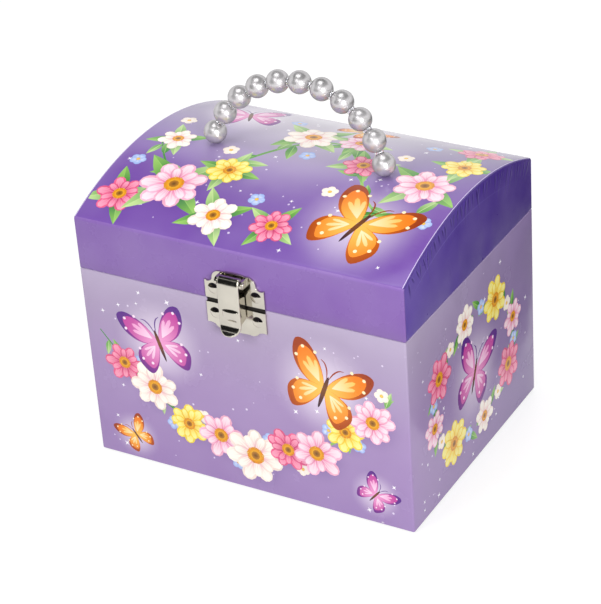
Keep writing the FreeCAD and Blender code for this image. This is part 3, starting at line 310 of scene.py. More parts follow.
def turned(points, degrees, size, centre):
    """Points turned, scaled and moved to a centre."""
    a = math.radians(degrees)
    spin = np.array([[math.cos(a), math.sin(a)], [-math.sin(a), math.cos(a)]])
    return np.array(points, float) @ spin * size + np.array(centre, float)


def full_turn(count):
    """Angles in even steps round a circle."""
    return np.linspace(0, 2 * np.pi, count, endpoint=False)


def petal_line(width, fullness, count=14):
    """Outline of a petal of length one along +u, widest towards its tip."""
    t = full_turn(count)
    along = (1 - np.cos(t)) / 2
    across = np.sin(t) * (1 - fullness + fullness * along) * width / 2
    return np.stack([along, across], 1)


def leaf_line(width, count=7):
    """Outline of a leaf of length one along +u, pointed at both ends."""
    t = np.linspace(0, 1, count)
    edge = np.sin(np.pi * t ** 0.8) * width / 2
    low = np.stack([t, -edge], 1)
    high = np.stack([t[::-1], edge[::-1]], 1)
    return np.concatenate([low, high[1:-1]])


print(f"a petal has {len(petal_line(0.7, 0.6))} points, a leaf {len(leaf_line(0.36))}")

# %% [markdown]
# ## A picture as layers of paint
# A printed picture is a pile of flat shapes. This small class collects them in paint order, turns
# every outline the same way round, and also draws the two shapes used most: discs and strokes that
# taper at both ends. Discs that fade out are noted, because their fade needs extra points later.

# %% Artwork
STROKE_TAPER = (0.15, np.pi - 0.12)


class Artwork:
    """Outlines in paint order. Each has a heart, a reach and the paint at both."""

    def __init__(self):
        self.layers = []
        self.fades = []

    def add(self, outline, heart, reach, inner, outer):
        outline = np.array(outline, float)
        x, y = outline.T
        if np.sum(x * np.roll(y, -1) - y * np.roll(x, -1)) < 0:
            outline = outline[::-1]
        self.layers.append((outline, np.array(heart, float), reach, np.array(inner), np.array(outer)))

    def disc(self, centre, radius, inner, outer, count=12):
        ring = turned(petal_line(1.0, 0.0, count) - (0.5, 0), 15, 2 * radius, centre)
        self.add(ring, centre, radius, inner, outer)

    def ribbon(self, points, width, inner, outer):
        """Tapered stroke along a curve."""
        p = np.array(points, float)
        way = np.gradient(p, axis=0)
        side = np.stack([-way[:, 1], way[:, 0]], 1) / np.linalg.norm(way, axis=1)[:, None]
        wide = (width / 2 * np.sin(np.linspace(*STROKE_TAPER, len(p))) ** 0.6)[:, None]
        outline = np.concatenate([p - side * wide, (p + side * wide)[::-1]])
        self.add(outline, p[0], np.linalg.norm(p[-1] - p[0]) + width, inner, outer)


print("artwork draws outlines, discs and strokes")

# %% [markdown]
# ## Inks
# A printer mixes a handful of inks and uses them all over the sheet. Each flower has three, from its
# heart to its tip, each leaf two, and each butterfly four. Soft shades are the same inks with less
# cover, so a colour is a row of four numbers and the last one says how much it covers.

# %% Inks


def inks(*codes):
    """Row of inks from their hex codes."""
    return tuple(ink(code) for code in codes)


PINK = inks("#D8508C", "#F6B6CF", "#FBE4EC")
CREAM = inks("#E79AB4", "#FBEBDD", "#FFF9F0")
YELLOW = inks("#E79A1F", "#FBDD4A", "#FDF29A")
ROSE = inks("#B02A5C", "#E8618C", "#F5A3BC")
LEAF = inks("#3F8A3A", "#9CCB6A")
LEAF_PALE = inks("#6FA858", "#C6E09A")
SKY = inks("#5A78C8", "#9DB4EA", "#DCE6FB")
SHADE = ink("#4A2E7C", 0.42)
ORANGE_WINGS = inks("#9A3B14", "#F0801E", "#FBC45A", "#FFF0C4")
VIOLET_WINGS = inks("#5A2A86", "#C2489E", "#EFA0D0", "#FBE3F3")


def tinted(colour, share):
    """The same paint a little lighter or darker."""
    return tuple(min(1.0, c * share) for c in colour[:3]) + (colour[3],)


def faint(colour, cover):
    """The same paint with another cover."""
    return colour[:3] + (cover,)


def soft_disc(art, centre, radius, inner, outer):
    """Disc whose paint fades out towards its edge."""
    art.disc(centre, radius, inner, outer, 30)
    art.fades.append((np.array(centre, float), radius))


print("inks for flowers, leaves and wings")

# %% [markdown]
# ## Flowers and leaves
# Every motif is a stack of outlines, dark ones first, so overlaps look painted. A rosette is two
# rings of petals round an eye. Petals that are all alike look stamped, so each is turned, scaled and
# tinted a little by a sine of its number, which stays the same on every run.

# %% Rosette, blossom and leaf
PETAL_FULL = 0.62
FLOWER_EYE = inks("#F7C93A", "#E08A1C")
EYE_DOT = inks("#FBE27A", "#C97B1E")
EYE_HEART = inks("#6E4A24", "#B87A2A")
BLOSSOM_EYE = inks("#FBE06A", "#E7A63A")


def rosette(art, centre, radius, paints, petals=8, turn=0.0):
    """Two rings of veined petals round a golden eye, with a soft shade below."""
    deep, middle, pale = paints
    below = (centre[0] + radius * 0.12, centre[1] - radius * 0.14)
    soft_disc(art, below, radius * 1.22, SHADE, faint(SHADE, 0.0))
    for ring, (share, width) in enumerate(((1.0, 0.72), (0.76, 0.66))):
        for k in range(petals):
            angle = turn + 360.0 * (k + ring / 2) / petals + 5.0 * math.sin(3.0 * k + turn)
            size = radius * share * (1 + 0.06 * math.sin(5.0 * k + turn))
            light = 0.9 + 0.2 * ((7 * k + 3 * ring) % 5) / 4
            colour = tinted(middle, light)
            petal = turned(petal_line(width, PETAL_FULL), angle, size, centre)
            art.add(petal, centre, size, deep, colour)
            inner = petal_line(width * 0.66, PETAL_FULL, 10) * (0.84, 1) + (0.12, 0)
            art.add(turned(inner, angle, size, centre), centre, size, colour, pale)
            for side in (-0.1, 0.0, 0.1):
                vein = turned([(0.3, side * 0.5), (0.55, side), (0.8, side * 1.5)], angle, size, centre)
                art.ribbon(smooth_path(vein, 3), radius * 0.035, faint(deep, 0.55), faint(middle, 0.2))
    art.disc(centre, radius * 0.3, *FLOWER_EYE)
    for k in range(9):
        at = turned([(0.27, 0)], turn + 40 * k, radius, centre)[0]
        art.disc(at, radius * 0.045, *EYE_DOT, 6)
    art.disc(centre, radius * 0.15, *EYE_HEART, 9)


def blossom(art, centre, radius, paints, turn=0.0):
    """Small flower of five round petals."""
    for k in range(5):
        at = turned([(0.55, 0)], turn + 72 * k, radius, centre)[0]
        art.disc(at, radius * 0.5, paints[2], paints[1], 9)
    art.disc(centre, radius * 0.26, *BLOSSOM_EYE, 7)


def leaf(art, root, length, angle, paints=LEAF, width=0.36):
    """Pointed leaf with one darker half and a pale rib."""
    dark, light = paints
    tip = turned([(1, 0)], angle, length, root)[0]
    art.add(turned(leaf_line(width), angle, length, root), root, length, dark, light)
    half = leaf_line(width)
    half = half[half[:, 1] <= 1e-9]
    art.add(turned(half, angle, length, root), root, length, dark, faint(dark, 0.35))
    rib = np.linspace(root, root + (tip - root) * 0.9, 5)
    art.ribbon(rib, 0.35, light, light)


print("motifs: rosette, blossom and leaf")

# %% [markdown]
# ## Butterflies
# A butterfly is drawn once, as its right half on a body of length one, and mirrored. Its wings are
# smooth closed curves through seven points each. A smaller copy of the wing gives it a dark margin,
# and drops and dots along a few rays give the pattern.

# %% Butterfly
FORE_WING = closed_curve([
    (0.04, 0.1), (0.3, 0.62), (0.72, 0.98), (1.02, 0.93), (0.98, 0.52), (0.7, 0.16), (0.3, 0.0)])
HIND_WING = closed_curve([
    (0.04, 0.02), (0.4, 0.02), (0.74, -0.14), (0.84, -0.46), (0.62, -0.84), (0.36, -0.72), (0.14, -0.36)])
WING_ROOT = np.array([0.06, 0.04])
FEELER = np.array([(0.02, 0.3), (0.08, 0.52), (0.18, 0.68), (0.3, 0.74)])
INSECT_BODY = inks("#7A4A2A", "#3A2030")
WING_RAYS = (
    (FORE_WING, ((62, 0.92), (46, 1.1), (30, 0.98))),
    (HIND_WING, ((-12, 0.66), (-34, 0.8), (-56, 0.74))),
)


def butterfly(art, centre, size, angle, paints):
    """Four wings with pale cells and margin spots, a slim body and two feelers."""
    edge, main, cell, spot = paints
    for side in (1, -1):
        flip = np.array([side, 1.0])
        for wing, rays in WING_RAYS:
            art.add(turned(wing * flip, angle, size, centre), centre, size * 1.3, main, edge)
            inner = (wing - WING_ROOT) * 0.84 + WING_ROOT
            art.add(turned(inner * flip, angle, size, centre), centre, size * 1.1, cell, main)
            start = WING_ROOT + 0.1 * np.sign(wing.mean(0))
            for ray, reach in rays:
                drop = turned(petal_line(0.26, 0.8, 10), ray, reach * 0.62, start)
                art.add(turned(drop * flip, angle, size, centre), centre, size, spot, cell)
                dot = turned([(reach * 0.97, 0)], ray, 1, WING_ROOT) * flip
                art.disc(turned(dot, angle, size, centre)[0], size * 0.045, spot, spot, 7)
        feeler = turned(smooth_path(FEELER * flip, 3), angle, size, centre)
        art.ribbon(feeler, size * 0.035, edge, edge)
    body = turned(petal_line(0.14, 0.3, 12) - (0.5, 0), 90, 0.95, (0, -0.08))
    art.add(turned(body, angle, size, centre), centre, size * 0.5, *INSECT_BODY)


print(f"wings of {len(FORE_WING)} and {len(HIND_WING)} points")

# %% [markdown]
# ## Stars and glows
# Small white stars and dots fill the ground between the motifs, and a pale glow lifts a butterfly
# off it. The stars are strewn with a seeded generator, so they come out the same on every run.

# %% Stars and glows
WHITE = ink("#FFFFFF")
STAR_TIP = ink("#F2E8FA", 0.85)
DOT_RIM = ink("#EFE4F8", 0.7)
GLOW = ink("#FFF4FF", 0.6)


def sparkle(art, centre, radius, turn=0.0):
    """Four-pointed star."""
    spokes = [(radius if k % 2 == 0 else radius * 0.3) for k in range(8)]
    star = [(r * math.cos(math.pi * k / 4), r * math.sin(math.pi * k / 4)) for k, r in enumerate(spokes)]
    art.add(turned(star, turn, 1, centre), centre, radius, WHITE, STAR_TIP)


def scatter(art, rng, width, low, high, stars, dots):
    """White stars and dots strewn over a sheet."""
    for k in range(stars + dots):
        where = (rng.uniform(-width, width), rng.uniform(low, high))
        if k < stars:
            sparkle(art, where, rng.uniform(0.9, 1.7), rng.uniform(0, 90))
        else:
            art.disc(where, rng.uniform(0.25, 0.6), WHITE, DOT_RIM, 7)


def glows(art, wings, share):
    """Pale glow behind every butterfly of a row."""
    for centre, size, angle, paints in wings:
        soft_disc(art, centre, size * share, GLOW, faint(GLOW, 0.0))


def butterflies(art, wings):
    for row in wings:
        butterfly(art, *row)


print("stars, dots and glows ready")

# %% [markdown]
# ## Swag
# The front and back carry flowers on a stem that hangs in a curve from both upper corners. A layout
# is a short list of places and sizes, so moving a blossom means changing one number. The stem is a
# parabola, which also gives the slope that its leaves follow.

# %% Swag for the front and back
RNG = np.random.default_rng(11)
LEAF_FAN = (-50, -18, 20, 52)
STAR_EDGE = 4
BODY_STARS = (4, 90)
STEM_EDGE = 5
SWAG_BLOSSOMS = (-0.95, -0.76, -0.545, -0.315, -0.09, 0.15, 0.375, 0.575, 0.78, 0.95)
SWAG_ROSETTES = (
    (-0.87, 10, ROSE), (-0.66, 12.5, CREAM), (-0.43, 10, YELLOW), (-0.2, 12, PINK), (0.04, 14.5, CREAM),
    (0.28, 10.5, ROSE), (0.48, 12.5, PINK), (0.69, 10, YELLOW), (0.88, 11, PINK),
)


def stem_leaves(art, line, slope, xs, length, step):
    """Leaves to both sides along a stem."""
    for k, x in enumerate(xs):
        angle = math.degrees(math.atan(slope(x))) + LEAF_FAN[k % 4] + (180 if k % 2 else 0)
        leaf(art, np.array((x, line(x))), length + step * (k % 3), angle, LEAF if k % 2 else LEAF_PALE)


def swag(half_width, low, rise, wings):
    """Blossoms on a stem that hangs in a curve from both upper corners."""
    art = Artwork()
    glows(art, wings, 1.45)
    scatter(art, RNG, half_width - STAR_EDGE, *BODY_STARS, 26, 60)
    reach = half_width - STEM_EDGE

    def hang(x):
        return low + rise * (x / reach) ** 2

    def slope(x):
        return 2 * rise * x / reach ** 2

    u = np.linspace(-reach, reach, 41)
    art.ribbon(np.stack([u, hang(u)], 1), 1.5, *LEAF)
    stem_leaves(art, hang, slope, np.linspace(-half_width + 9, half_width - 9, 23), 8.0, 1)
    for k, share in enumerate(SWAG_BLOSSOMS):
        x = share * (half_width - 7)
        blossom(art, (x, hang(x) + (7.5 if k % 2 else -8.5)), 3.4, SKY if k % 3 else CREAM, 20.0 * k)
    for k, (share, radius, paints) in enumerate(SWAG_ROSETTES):
        x = share * (half_width - 7)
        rosette(art, (x, hang(x) + (2.5 if k % 2 else -2)), radius, paints, 6 + k % 3, 23.0 * k)
    butterflies(art, wings)
    return art


print(f"swag: {len(SWAG_ROSETTES)} rosettes and {len(SWAG_BLOSSOMS)} blossoms")

# %% [markdown]
# ## Wreath
# Each side carries one ring of flowers round a butterfly. The ring is an ellipse, and the leaves lie
# along it, turned to the inside and the outside by turns.

# %% Wreath for the sides
WREATH_INKS = (PINK, YELLOW, CREAM, ROSE)
WREATH_RISE = 29.0
WREATH_SPREAD = 0.68
WREATH_LEAVES = 36
WREATH_FLOWERS = 8


def wreath(half_width, middle, wings):
    """Ring of leaves and blossoms round a butterfly."""
    art = Artwork()
    glows(art, [wings], 1.5)
    scatter(art, RNG, half_width - STAR_EDGE, *BODY_STARS, 22, 50)

    def ring(degrees):
        t = math.radians(degrees)
        return np.array((half_width * WREATH_SPREAD * math.cos(t), middle + WREATH_RISE * math.sin(t)))

    for k in range(WREATH_LEAVES):
        turn = 360 // WREATH_LEAVES * k
        angle = turn + 90 + (32 if k % 2 else -32)
        leaf(art, ring(turn), 8.5 + k % 3, angle, LEAF if k % 3 else LEAF_PALE)
    for k in range(WREATH_FLOWERS):
        turn = 360 // WREATH_FLOWERS * k
        blossom(art, ring(turn + 34), 3.6, SKY if k % 2 else CREAM, 15.0 * k)
        rosette(art, ring(turn + 12), 11.5 if k % 2 else 9.0, WREATH_INKS[k % 4], 6 + k % 3, 17.0 * k)
    butterfly(art, *wings)
    return art


print(f"wreath: {WREATH_FLOWERS} rosettes and {WREATH_LEAVES} leaves")

# %% [markdown]
# ## Vine
# A waving stem runs over the dome from side to side, with sprays of flowers in its bends and three
# butterflies. The sheet is seen from the front edge up to the back, so the second number of a place
# says how far it lies from the front edge along the arc.

# %% Vine for the dome
WAVE = 25
WAVE_LENGTH = 100
WAVE_SHIFT = 20
VINE_WINGS = (
    ((-48, 101), 17, 24, VIOLET_WINGS),
    ((46, 27), 21, -18, ORANGE_WINGS),
    ((6, 110), 12, -30, ORANGE_WINGS),
)
VINE_BLOSSOMS = (
    (-70, 40, SKY), (-34, 60, CREAM), (-4, 30, SKY), (0, 68, SKY), (40, 84, CREAM), (72, 36, SKY),
    (24, 44, CREAM), (-24, 104, SKY), (44, 104, SKY), (-68, 80, CREAM),
)
VINE_ROSETTES = (
    (-66, 17, 11, ROSE), (-45, 29, 15.5, PINK), (-26, 45, 10, YELLOW), (-62, 61, 9, CREAM),
    (-8, 88, 13, CREAM), (14, 92, 10, PINK), (27, 69, 10, ROSE), (60, 62, 14, PINK),
    (67, 86, 10, YELLOW), (-18, 16, 11, CREAM), (10, 17, 9.5, ROSE), (64, 110, 10, ROSE),
)


def spray(art, centre, radius, paints, turn, leaves, petals):
    """A rosette on a fan of leaves."""
    for k in range(leaves):
        angle = turn + 360.0 * k / leaves + 20
        leaf(art, np.array(centre), radius * 1.65, angle, LEAF if k % 2 else LEAF_PALE)
    rosette(art, centre, radius, paints, petals, turn)


def vine(half_width, length):
    """Waving stem over the dome with blossoms in its bends and butterflies at its ends."""
    art = Artwork()
    glows(art, VINE_WINGS, 1.5)
    scatter(art, RNG, half_width - STAR_EDGE, 5, length - 5, 34, 80)

    def wave(x):
        return length / 2 - 4 + WAVE * np.sin(2 * np.pi * (x + WAVE_SHIFT) / WAVE_LENGTH)

    def slope(x):
        return 2 * np.pi * WAVE / WAVE_LENGTH * np.cos(2 * np.pi * (x + WAVE_SHIFT) / WAVE_LENGTH)

    u = np.linspace(-half_width + 8, half_width - 8, 61)
    art.ribbon(np.stack([u, wave(u)], 1), 1.7, *LEAF)
    stem_leaves(art, wave, slope, np.linspace(-half_width + 12, half_width - 12, 27), 10.0, 2)
    for x, v, paints in VINE_BLOSSOMS:
        blossom(art, (x, v), 3.8, paints, x)
    for k, (x, v, radius, paints) in enumerate(VINE_ROSETTES):
        spray(art, (x, v), radius, paints, 31.0 * k, 4, 6 + k % 3)
    butterflies(art, VINE_WINGS)
    return art


print(f"vine: {len(VINE_ROSETTES)} sprays and {len(VINE_WINGS)} butterflies")

# %% [markdown]
# ## The four sides of the body
# Now the layouts are drawn at the size of the box. The front also gets a small nick near its lower
# edge, where the paper has chipped to white, and two dark discs of painted shade behind the windows
# of the catch.

# %% Artwork of the body
FRONT_ART = swag(78, 21, 45, (((-42, 66), 17, 18, VIOLET_WINGS), ((40, 63), 19, -20, ORANGE_WINGS),
                              ((-60, 13), 9, 35, ORANGE_WINGS), ((62, 15), 9, -40, VIOLET_WINGS)))
BACK_ART = swag(78, 34, 40, (((-32, 14), 12, 30, ORANGE_WINGS), ((36, 15), 12, -24, VIOLET_WINGS)))
RIGHT_ART = wreath(60, 46, ((0, 45), 18, -22, VIOLET_WINGS))
LEFT_ART = wreath(60, 46, ((0, 45), 18, 20, ORANGE_WINGS))
NICK = ((63.5, 0.9), (64.6, 1.9), (66.1, 1.3), (67.4, 1.7), (67.9, 0.9))
FRONT_ART.add(NICK, (65.5, 1.2), 2.0, ink("#F4EFF2"), ink("#E4DCE8"))
# Near-black paint: painted shade seen through the windows of the catch plates.
WINDOW_SHADE = ink("#17131C")
WINDOW_X = 10.4
WINDOW_R = 2.7
WINDOW_LOW_Z = 89.7
WINDOW_HIGH_Z = 101.7


def shade_behind_windows(art, window_v):
    """Painted shade on the paper behind the two windows of a catch plate."""
    for x in (-WINDOW_X, WINDOW_X):
        art.disc((x, window_v), WINDOW_R, WINDOW_SHADE, WINDOW_SHADE, 20)


shade_behind_windows(FRONT_ART, WINDOW_LOW_Z)
print("outlines:", [len(x.layers) for x in (FRONT_ART, BACK_ART, RIGHT_ART, LEFT_ART)])

# %% [markdown]
# ## Cutting the sheet
# A constrained triangulation takes the border of a sheet, its fold lines and all the outlines, and
# returns one mesh that follows every line. It also says which outlines cover each triangle, so the
# paints can be laid over each other in order. The result is a print with crisp edges at any zoom.

# %% Border, clipping and fades
FADE_STEPS = 7


def rectangle(us, vs):
    """Border of a sheet, counter-clockwise, with a point at every division."""
    low = [(u, vs[0]) for u in us]
    east = [(us[-1], v) for v in vs[1:]]
    high = [(u, vs[-1]) for u in us[-2::-1]]
    west = [(us[0], v) for v in vs[-2:0:-1]]
    return low + east + high + west


def inside(outline, border, margin):
    """Outline clipped to the border's box."""
    low = np.min(border, 0) + margin
    high = np.max(border, 0) - margin
    for axis in (0, 1):
        for limit, sign in ((low[axis], 1), (high[axis], -1)):
            kept = []
            for p, q in zip(outline, np.roll(outline, -1, 0)):
                dp, dq = sign * (p[axis] - limit), sign * (q[axis] - limit)
                if dp >= 0:
                    kept.append(p)
                if dp * dq < 0:
                    kept.append(p + (q - p) * dp / (dp - dq))
            outline = np.array(kept)
            if len(outline) < 3:
                return None
    return outline


def fade_points(art, folds):
    """Extra points inside fading discs, on fold lines where there are any, so that a fade is even."""
    rows = [start[1] for start, end in folds if start[1] == end[1]]
    steps = range(1 - FADE_STEPS, FADE_STEPS)
    found = []
    for (u, v), radius in art.fades:
        step = radius / FADE_STEPS
        lines = [w for w in rows if abs(w - v) < radius]
        if len(lines) < FADE_STEPS - 1:
            lines = [v + step * k for k in steps]
        for w in lines:
            reach = math.sqrt(max(0.0, radius ** 2 - (w - v) ** 2))
            found += [(u + step * k, w) for k in steps if abs(step * k) < reach - 0.3 * step]
    return found


print("fading discs on the front:", len(FRONT_ART.fades))

# %% [markdown]
# ## Paint on the triangles
# The cutter gathers the border, folds, holes and outlines, and runs the triangulation. Then every
# outline paints the triangles it covers, lowest first, with its paint at each corner mixed over
# what is already there. Corners that belong to two triangles may differ, so edges stay crisp.

# %% Cut a sheet along its print
CUT_STEP = 0.004
PRINT_MARGIN = 0.6
FADE_MARGIN = 1.0
NO_ART = Artwork()


def layer_paint(points, heart, reach, inner, outer):
    """Paint of one outline at points, from its heart to its reach."""
    far = np.clip(np.linalg.norm(points - heart, axis=-1) / reach, 0, 1)[..., None]
    share = far * far * (3 - 2 * far)
    return inner * (1 - share) + outer * share


def cut_sheet(border, art=NO_ART, folds=(), hole=None, spots=()):
    """Points, triangles and corner paint of a flat sheet."""
    points = [Vector(p) for p in border]
    edges = [(k, (k + 1) % len(border)) for k in range(len(border))]
    points += [Vector(p) for p in spots]
    low, high = np.min(border, 0) + FADE_MARGIN, np.max(border, 0) - FADE_MARGIN
    points += [Vector(p) for p in fade_points(art, folds) if np.all(p > low) and np.all(p < high)]
    for start, end in folds:
        edges.append((len(points), len(points) + 1))
        points += [Vector(start), Vector(end)]
    faces, paints = [], []

    def add_face(outline, paint):
        faces.append(list(range(len(points), len(points) + len(outline))))
        points.extend(Vector(p) for p in outline)
        paints.append(paint)

    for outline, *paint in art.layers:
        outline = inside(outline, border, PRINT_MARGIN)
        if outline is not None:
            add_face(outline, paint)
    if hole is not None:
        add_face(hole, None)
    found = delaunay_2d_cdt(points, edges, faces, 0, CUT_STEP, True)
    flat = np.array([tuple(p) for p in found[0]])
    covers = found[5]
    holes = {k for k, paint in enumerate(paints) if paint is None}
    kept = [k for k, ids in enumerate(covers) if not holes.intersection(ids)]
    tris = np.array([found[2][k] for k in kept])
    layers = {}
    for row, k in enumerate(kept):
        for face in covers[k]:
            layers.setdefault(face, []).append(row)
    rgba = np.zeros((len(tris), 3, 4))
    for face in sorted(layers):
        rows = np.array(layers[face])
        paint = layer_paint(flat[tris[rows]], *paints[face])
        alpha = paint[..., 3:]
        under = rgba[rows, :, 3:] * (1 - alpha)
        total = np.maximum(alpha + under, 1e-6)
        rgba[rows, :, :3] = (paint[..., :3] * alpha + rgba[rows, :, :3] * under) / total
        rgba[rows, :, 3:] = alpha + under
    return flat, tris, rgba


print(f"outlines are cut to {CUT_STEP} mm")

# %% [markdown]
# ## From flat sheets to a skin
# A piece of paper or plate is several sheets, bands and rings that share their corners. This class
# collects them all in millimetres, joins corners that fall on the same place, keeps the paint of
# every corner, and builds one mesh. Edges sharper than a set angle stay sharp in the shading.

# %% Skin
WELDS_PER_MM = 500
NO_PAINT = (1, 1, 1, 0)


def mesh_object(name, points, faces, finishes, sharp):
    """Smooth mesh in millimetres, with edges above an angle kept sharp."""
    mesh = bpy.data.meshes.new(name)
    mesh.from_pydata([tuple(float(c) * MM for c in p) for p in points], [], faces)
    for finish in finishes:
        mesh.materials.append(finish)
    mesh.shade_smooth()
    mesh.set_sharp_from_angle(angle=math.radians(sharp))
    return in_scene(name, mesh)


class Skin:
    """Collects faces in millimetres, with a finish and paint for each, into one mesh."""

    def __init__(self):
        self.index = {}
        self.points = []
        self.faces = []
        self.paint = []
        self.finish = []

    def corner(self, p):
        key = tuple(round(c * WELDS_PER_MM) for c in p)
        if key not in self.index:
            self.index[key] = len(self.points)
            self.points.append(tuple(p))
        return self.index[key]

    def face(self, corners, finish=0, paint=None):
        ids = [self.corner(p) for p in corners]
        slim = [i for k, i in enumerate(ids) if i != ids[k - 1]]
        if len(set(slim)) < 3 or len(set(slim)) != len(slim):
            return
        rows = [NO_PAINT] * len(ids) if paint is None else list(paint)
        self.faces.append(slim)
        self.paint += [tuple(rows[k]) for k, i in enumerate(ids) if i != ids[k - 1]]
        self.finish.append(finish)

    def sheet(self, cut, lift, finish=0, flip=False):
        """A cut sheet lifted into space, its finish a number or a rule for each triangle."""
        flat, tris, rgba = cut
        space = [lift(u, v) for u, v in flat]
        for tri, paint in zip(tris, rgba):
            ids = tri[::-1] if flip else tri
            rows = paint[::-1] if flip else paint
            kind = finish(flat[tri].mean(0)) if callable(finish) else finish
            self.face([space[i] for i in ids], kind, rows)

    def band(self, low, high, finish=0):
        """Quads between two closed rings of as many points."""
        count = len(low)
        for k in range(count):
            n = (k + 1) % count
            self.face([low[k], low[n], high[n], high[k]], finish)

    def build(self, name, finishes, sharp=35.0):
        """Object with all the faces, their paint and their finishes."""
        made = mesh_object(name, self.points, self.faces, finishes, sharp)
        mesh = made.data
        layer = mesh.color_attributes.new("print", "FLOAT_COLOR", "CORNER")
        layer.data.foreach_set("color", np.array(self.paint, np.float32).ravel())
        mesh.polygons.foreach_set("material_index", np.array(self.finish, np.int32))
        mesh.validate()
        return made


def dressed(made, body, node):
    """Piece that rides on a body and stands for a solid, which it hides."""
    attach(made, body)
    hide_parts(node)
    return made


print(f"corners join within {1 / WELDS_PER_MM} mm")

# %% [markdown]
# ## Colour grounds
# Under the print lies a soft colour ground, which pales from one edge of the sheet to the other. A
# ramp along an axis gives that without a picture, and a halo round a point gives the pale bloom at
# the back of the dome, which is partly the print's ground and partly painted sheen.

# %% Ramps and halos


def ramp(tree, value, stops):
    """Colour ramp over a value."""
    made = place(tree, "ValToRGB", {"Fac": value})
    bar = made.color_ramp
    while len(bar.elements) < len(stops):
        bar.elements.new(0.5)
    for element, (at, colour) in zip(bar.elements, stops):
        element.position = at
        element.color = colour
    return made.outputs["Color"]


def axis_value(tree, axis, low, high):
    """Place along an axis of the piece as nought to one."""
    where = place(tree, "SeparateXYZ", {0: surface_point(tree)})
    return between(tree, where.outputs[axis], 0.0, 1.0, low, high)


def halo(tree, centre, reach):
    """One at a point of the piece, falling softly to nought at its reach."""
    away = place(tree, "VectorMath", {0: surface_point(tree), 1: centre}, operation="DISTANCE")
    return between(tree, away.outputs["Value"], 1.0, 0.0, 0.0, reach, interpolation_type="SMOOTHSTEP")


print("ramps and halos ready")

# %% [markdown]
# ## Paper finishes
# The paper is laminated: a clear film over ink. A Principled shader with a low roughness gives the
# gloss. A very slight relief keeps the reflections from being too perfect, as on pasted paper, and
# a cloudy noise breaks the ground's even tone.

# %% Laminated paper
HALF_D = 62.5
BODY_H = 95.5
LIP_LOW = 95.9
LIP_TOP = 120.9
# Span over which painted shade darkens the body's paper towards the back.
BACK_SHADE_SPAN = 0.062
LILAC = (0.5, 0.4, 0.7, 1)
MIST = ink("#C4B6D8")
# Pale bloom at the back of the dome: partly the print's ground, partly painted sheen.
BLOOM_AND_SHEEN = ink("#CFC8D6")
BLOOM_AND_SHEEN_SPOT = (-0.012, 0.055, 0.13)
BLOOM_AND_SHEEN_REACH = 0.105


def laminated(name, axis, span, stops, roughness, shine, bloom_and_sheen=False, deep=None):
    """Gloss paper: a ramped ground, a pale bloom that is partly painted sheen, painted shade towards the
    back, each where asked, and the print over all.
    """
    made, tree, shader = new_finish(name, LILAC, roughness, Specular_IOR_Level=shine)
    along = axis_value(tree, axis, span[0] * MM, span[1] * MM)
    ground = ramp(tree, along, [(at, ink(code)) for at, code in stops])
    cloudy = between(tree, noise(tree, 34, 2), 0.0, 0.12)
    ground = blend(tree, cloudy, ground, MIST)
    # Bloom: partly the print's pale ground, partly painted sheen of the dome's glossy back.
    if bloom_and_sheen:
        ground = blend(tree, halo(tree, BLOOM_AND_SHEEN_SPOT, BLOOM_AND_SHEEN_REACH), ground, BLOOM_AND_SHEEN)
    # Painted shade: the ground darkens towards the back of the piece.
    if deep:
        ground = blend(tree, axis_value(tree, "Y", -BACK_SHADE_SPAN, BACK_SHADE_SPAN), ground, ink(deep))
    paint = place(tree, "VertexColor", layer_name="print")
    tint(shader, paint.outputs["Alpha"], ground, paint.outputs["Color"])
    polish(shader, noise(tree, 60, 4), roughness * 0.8, roughness * 1.35)
    wavy = bump(shader, noise(tree, 45, 1), 0.00006, 0.5)
    bump(shader, noise(tree, 2400, 2), 0.000006, 0.35, wavy)
    return made


DEPTH = (-HALF_D, HALF_D)
BODY_INKS = ((0.0, "#9A7EB4"), (0.5, "#A289B7"), (1.0, "#AEA0BA"))
# The dome's ground pales towards the back, partly the print and partly painted sheen.
DOME_INKS = ((0.0, "#7049A2"), (0.4, "#7C58A8"), (0.62, "#8068A6"), (1.0, "#8A7EA0"))
PLAIN_INKS = ((0.0, "#7E5BA4"), (1.0, "#805DA8"))
# The ends' ink is darker than the lip's paper and darker still towards the back: painted shade.
END_SHADE_INKS = ((0.0, "#644EA4"), (0.4, "#4C348E"), (1.0, "#432C7E"))
# The deep ink is painted shade, darker towards the back of the box.
BODY_PAPER = laminated("body_paper", "Z", (0, BODY_H), BODY_INKS, 0.22, 0.35, deep="#8C78A6")
DOME_PAPER = laminated("dome_paper", "Y", DEPTH, DOME_INKS, 0.2, 0.5, bloom_and_sheen=True)
PLAIN_PAPER = laminated("lid_paper_plain", "Z", (LIP_LOW, LIP_TOP), PLAIN_INKS, 0.25, 0.35)
END_PAPER = laminated("lid_paper_end", "Y", DEPTH, END_SHADE_INKS, 0.34, 0.18)
print("paper finishes:", [m.name for m in (BODY_PAPER, DOME_PAPER, PLAIN_PAPER, END_PAPER)])

# %% [markdown]
# ## The paper on the box
# Real wrapping paper is one sleeve: up the outside, over the rim and down behind the lining. It is
# built here as rings of points that follow that path and return along the board, with the four
# printed sheets set into the outside. This first step lays out those rings; at the back the paper
# has a small bay, where the stop rod passes the rim.

# %% Rings round the box
HALF_W = 80.0
EDGE_R = 0.8
EDGE_STEPS = 4
LEAST_R = 0.04
ROD_X = 59.75
ROD_BAY = 1.45

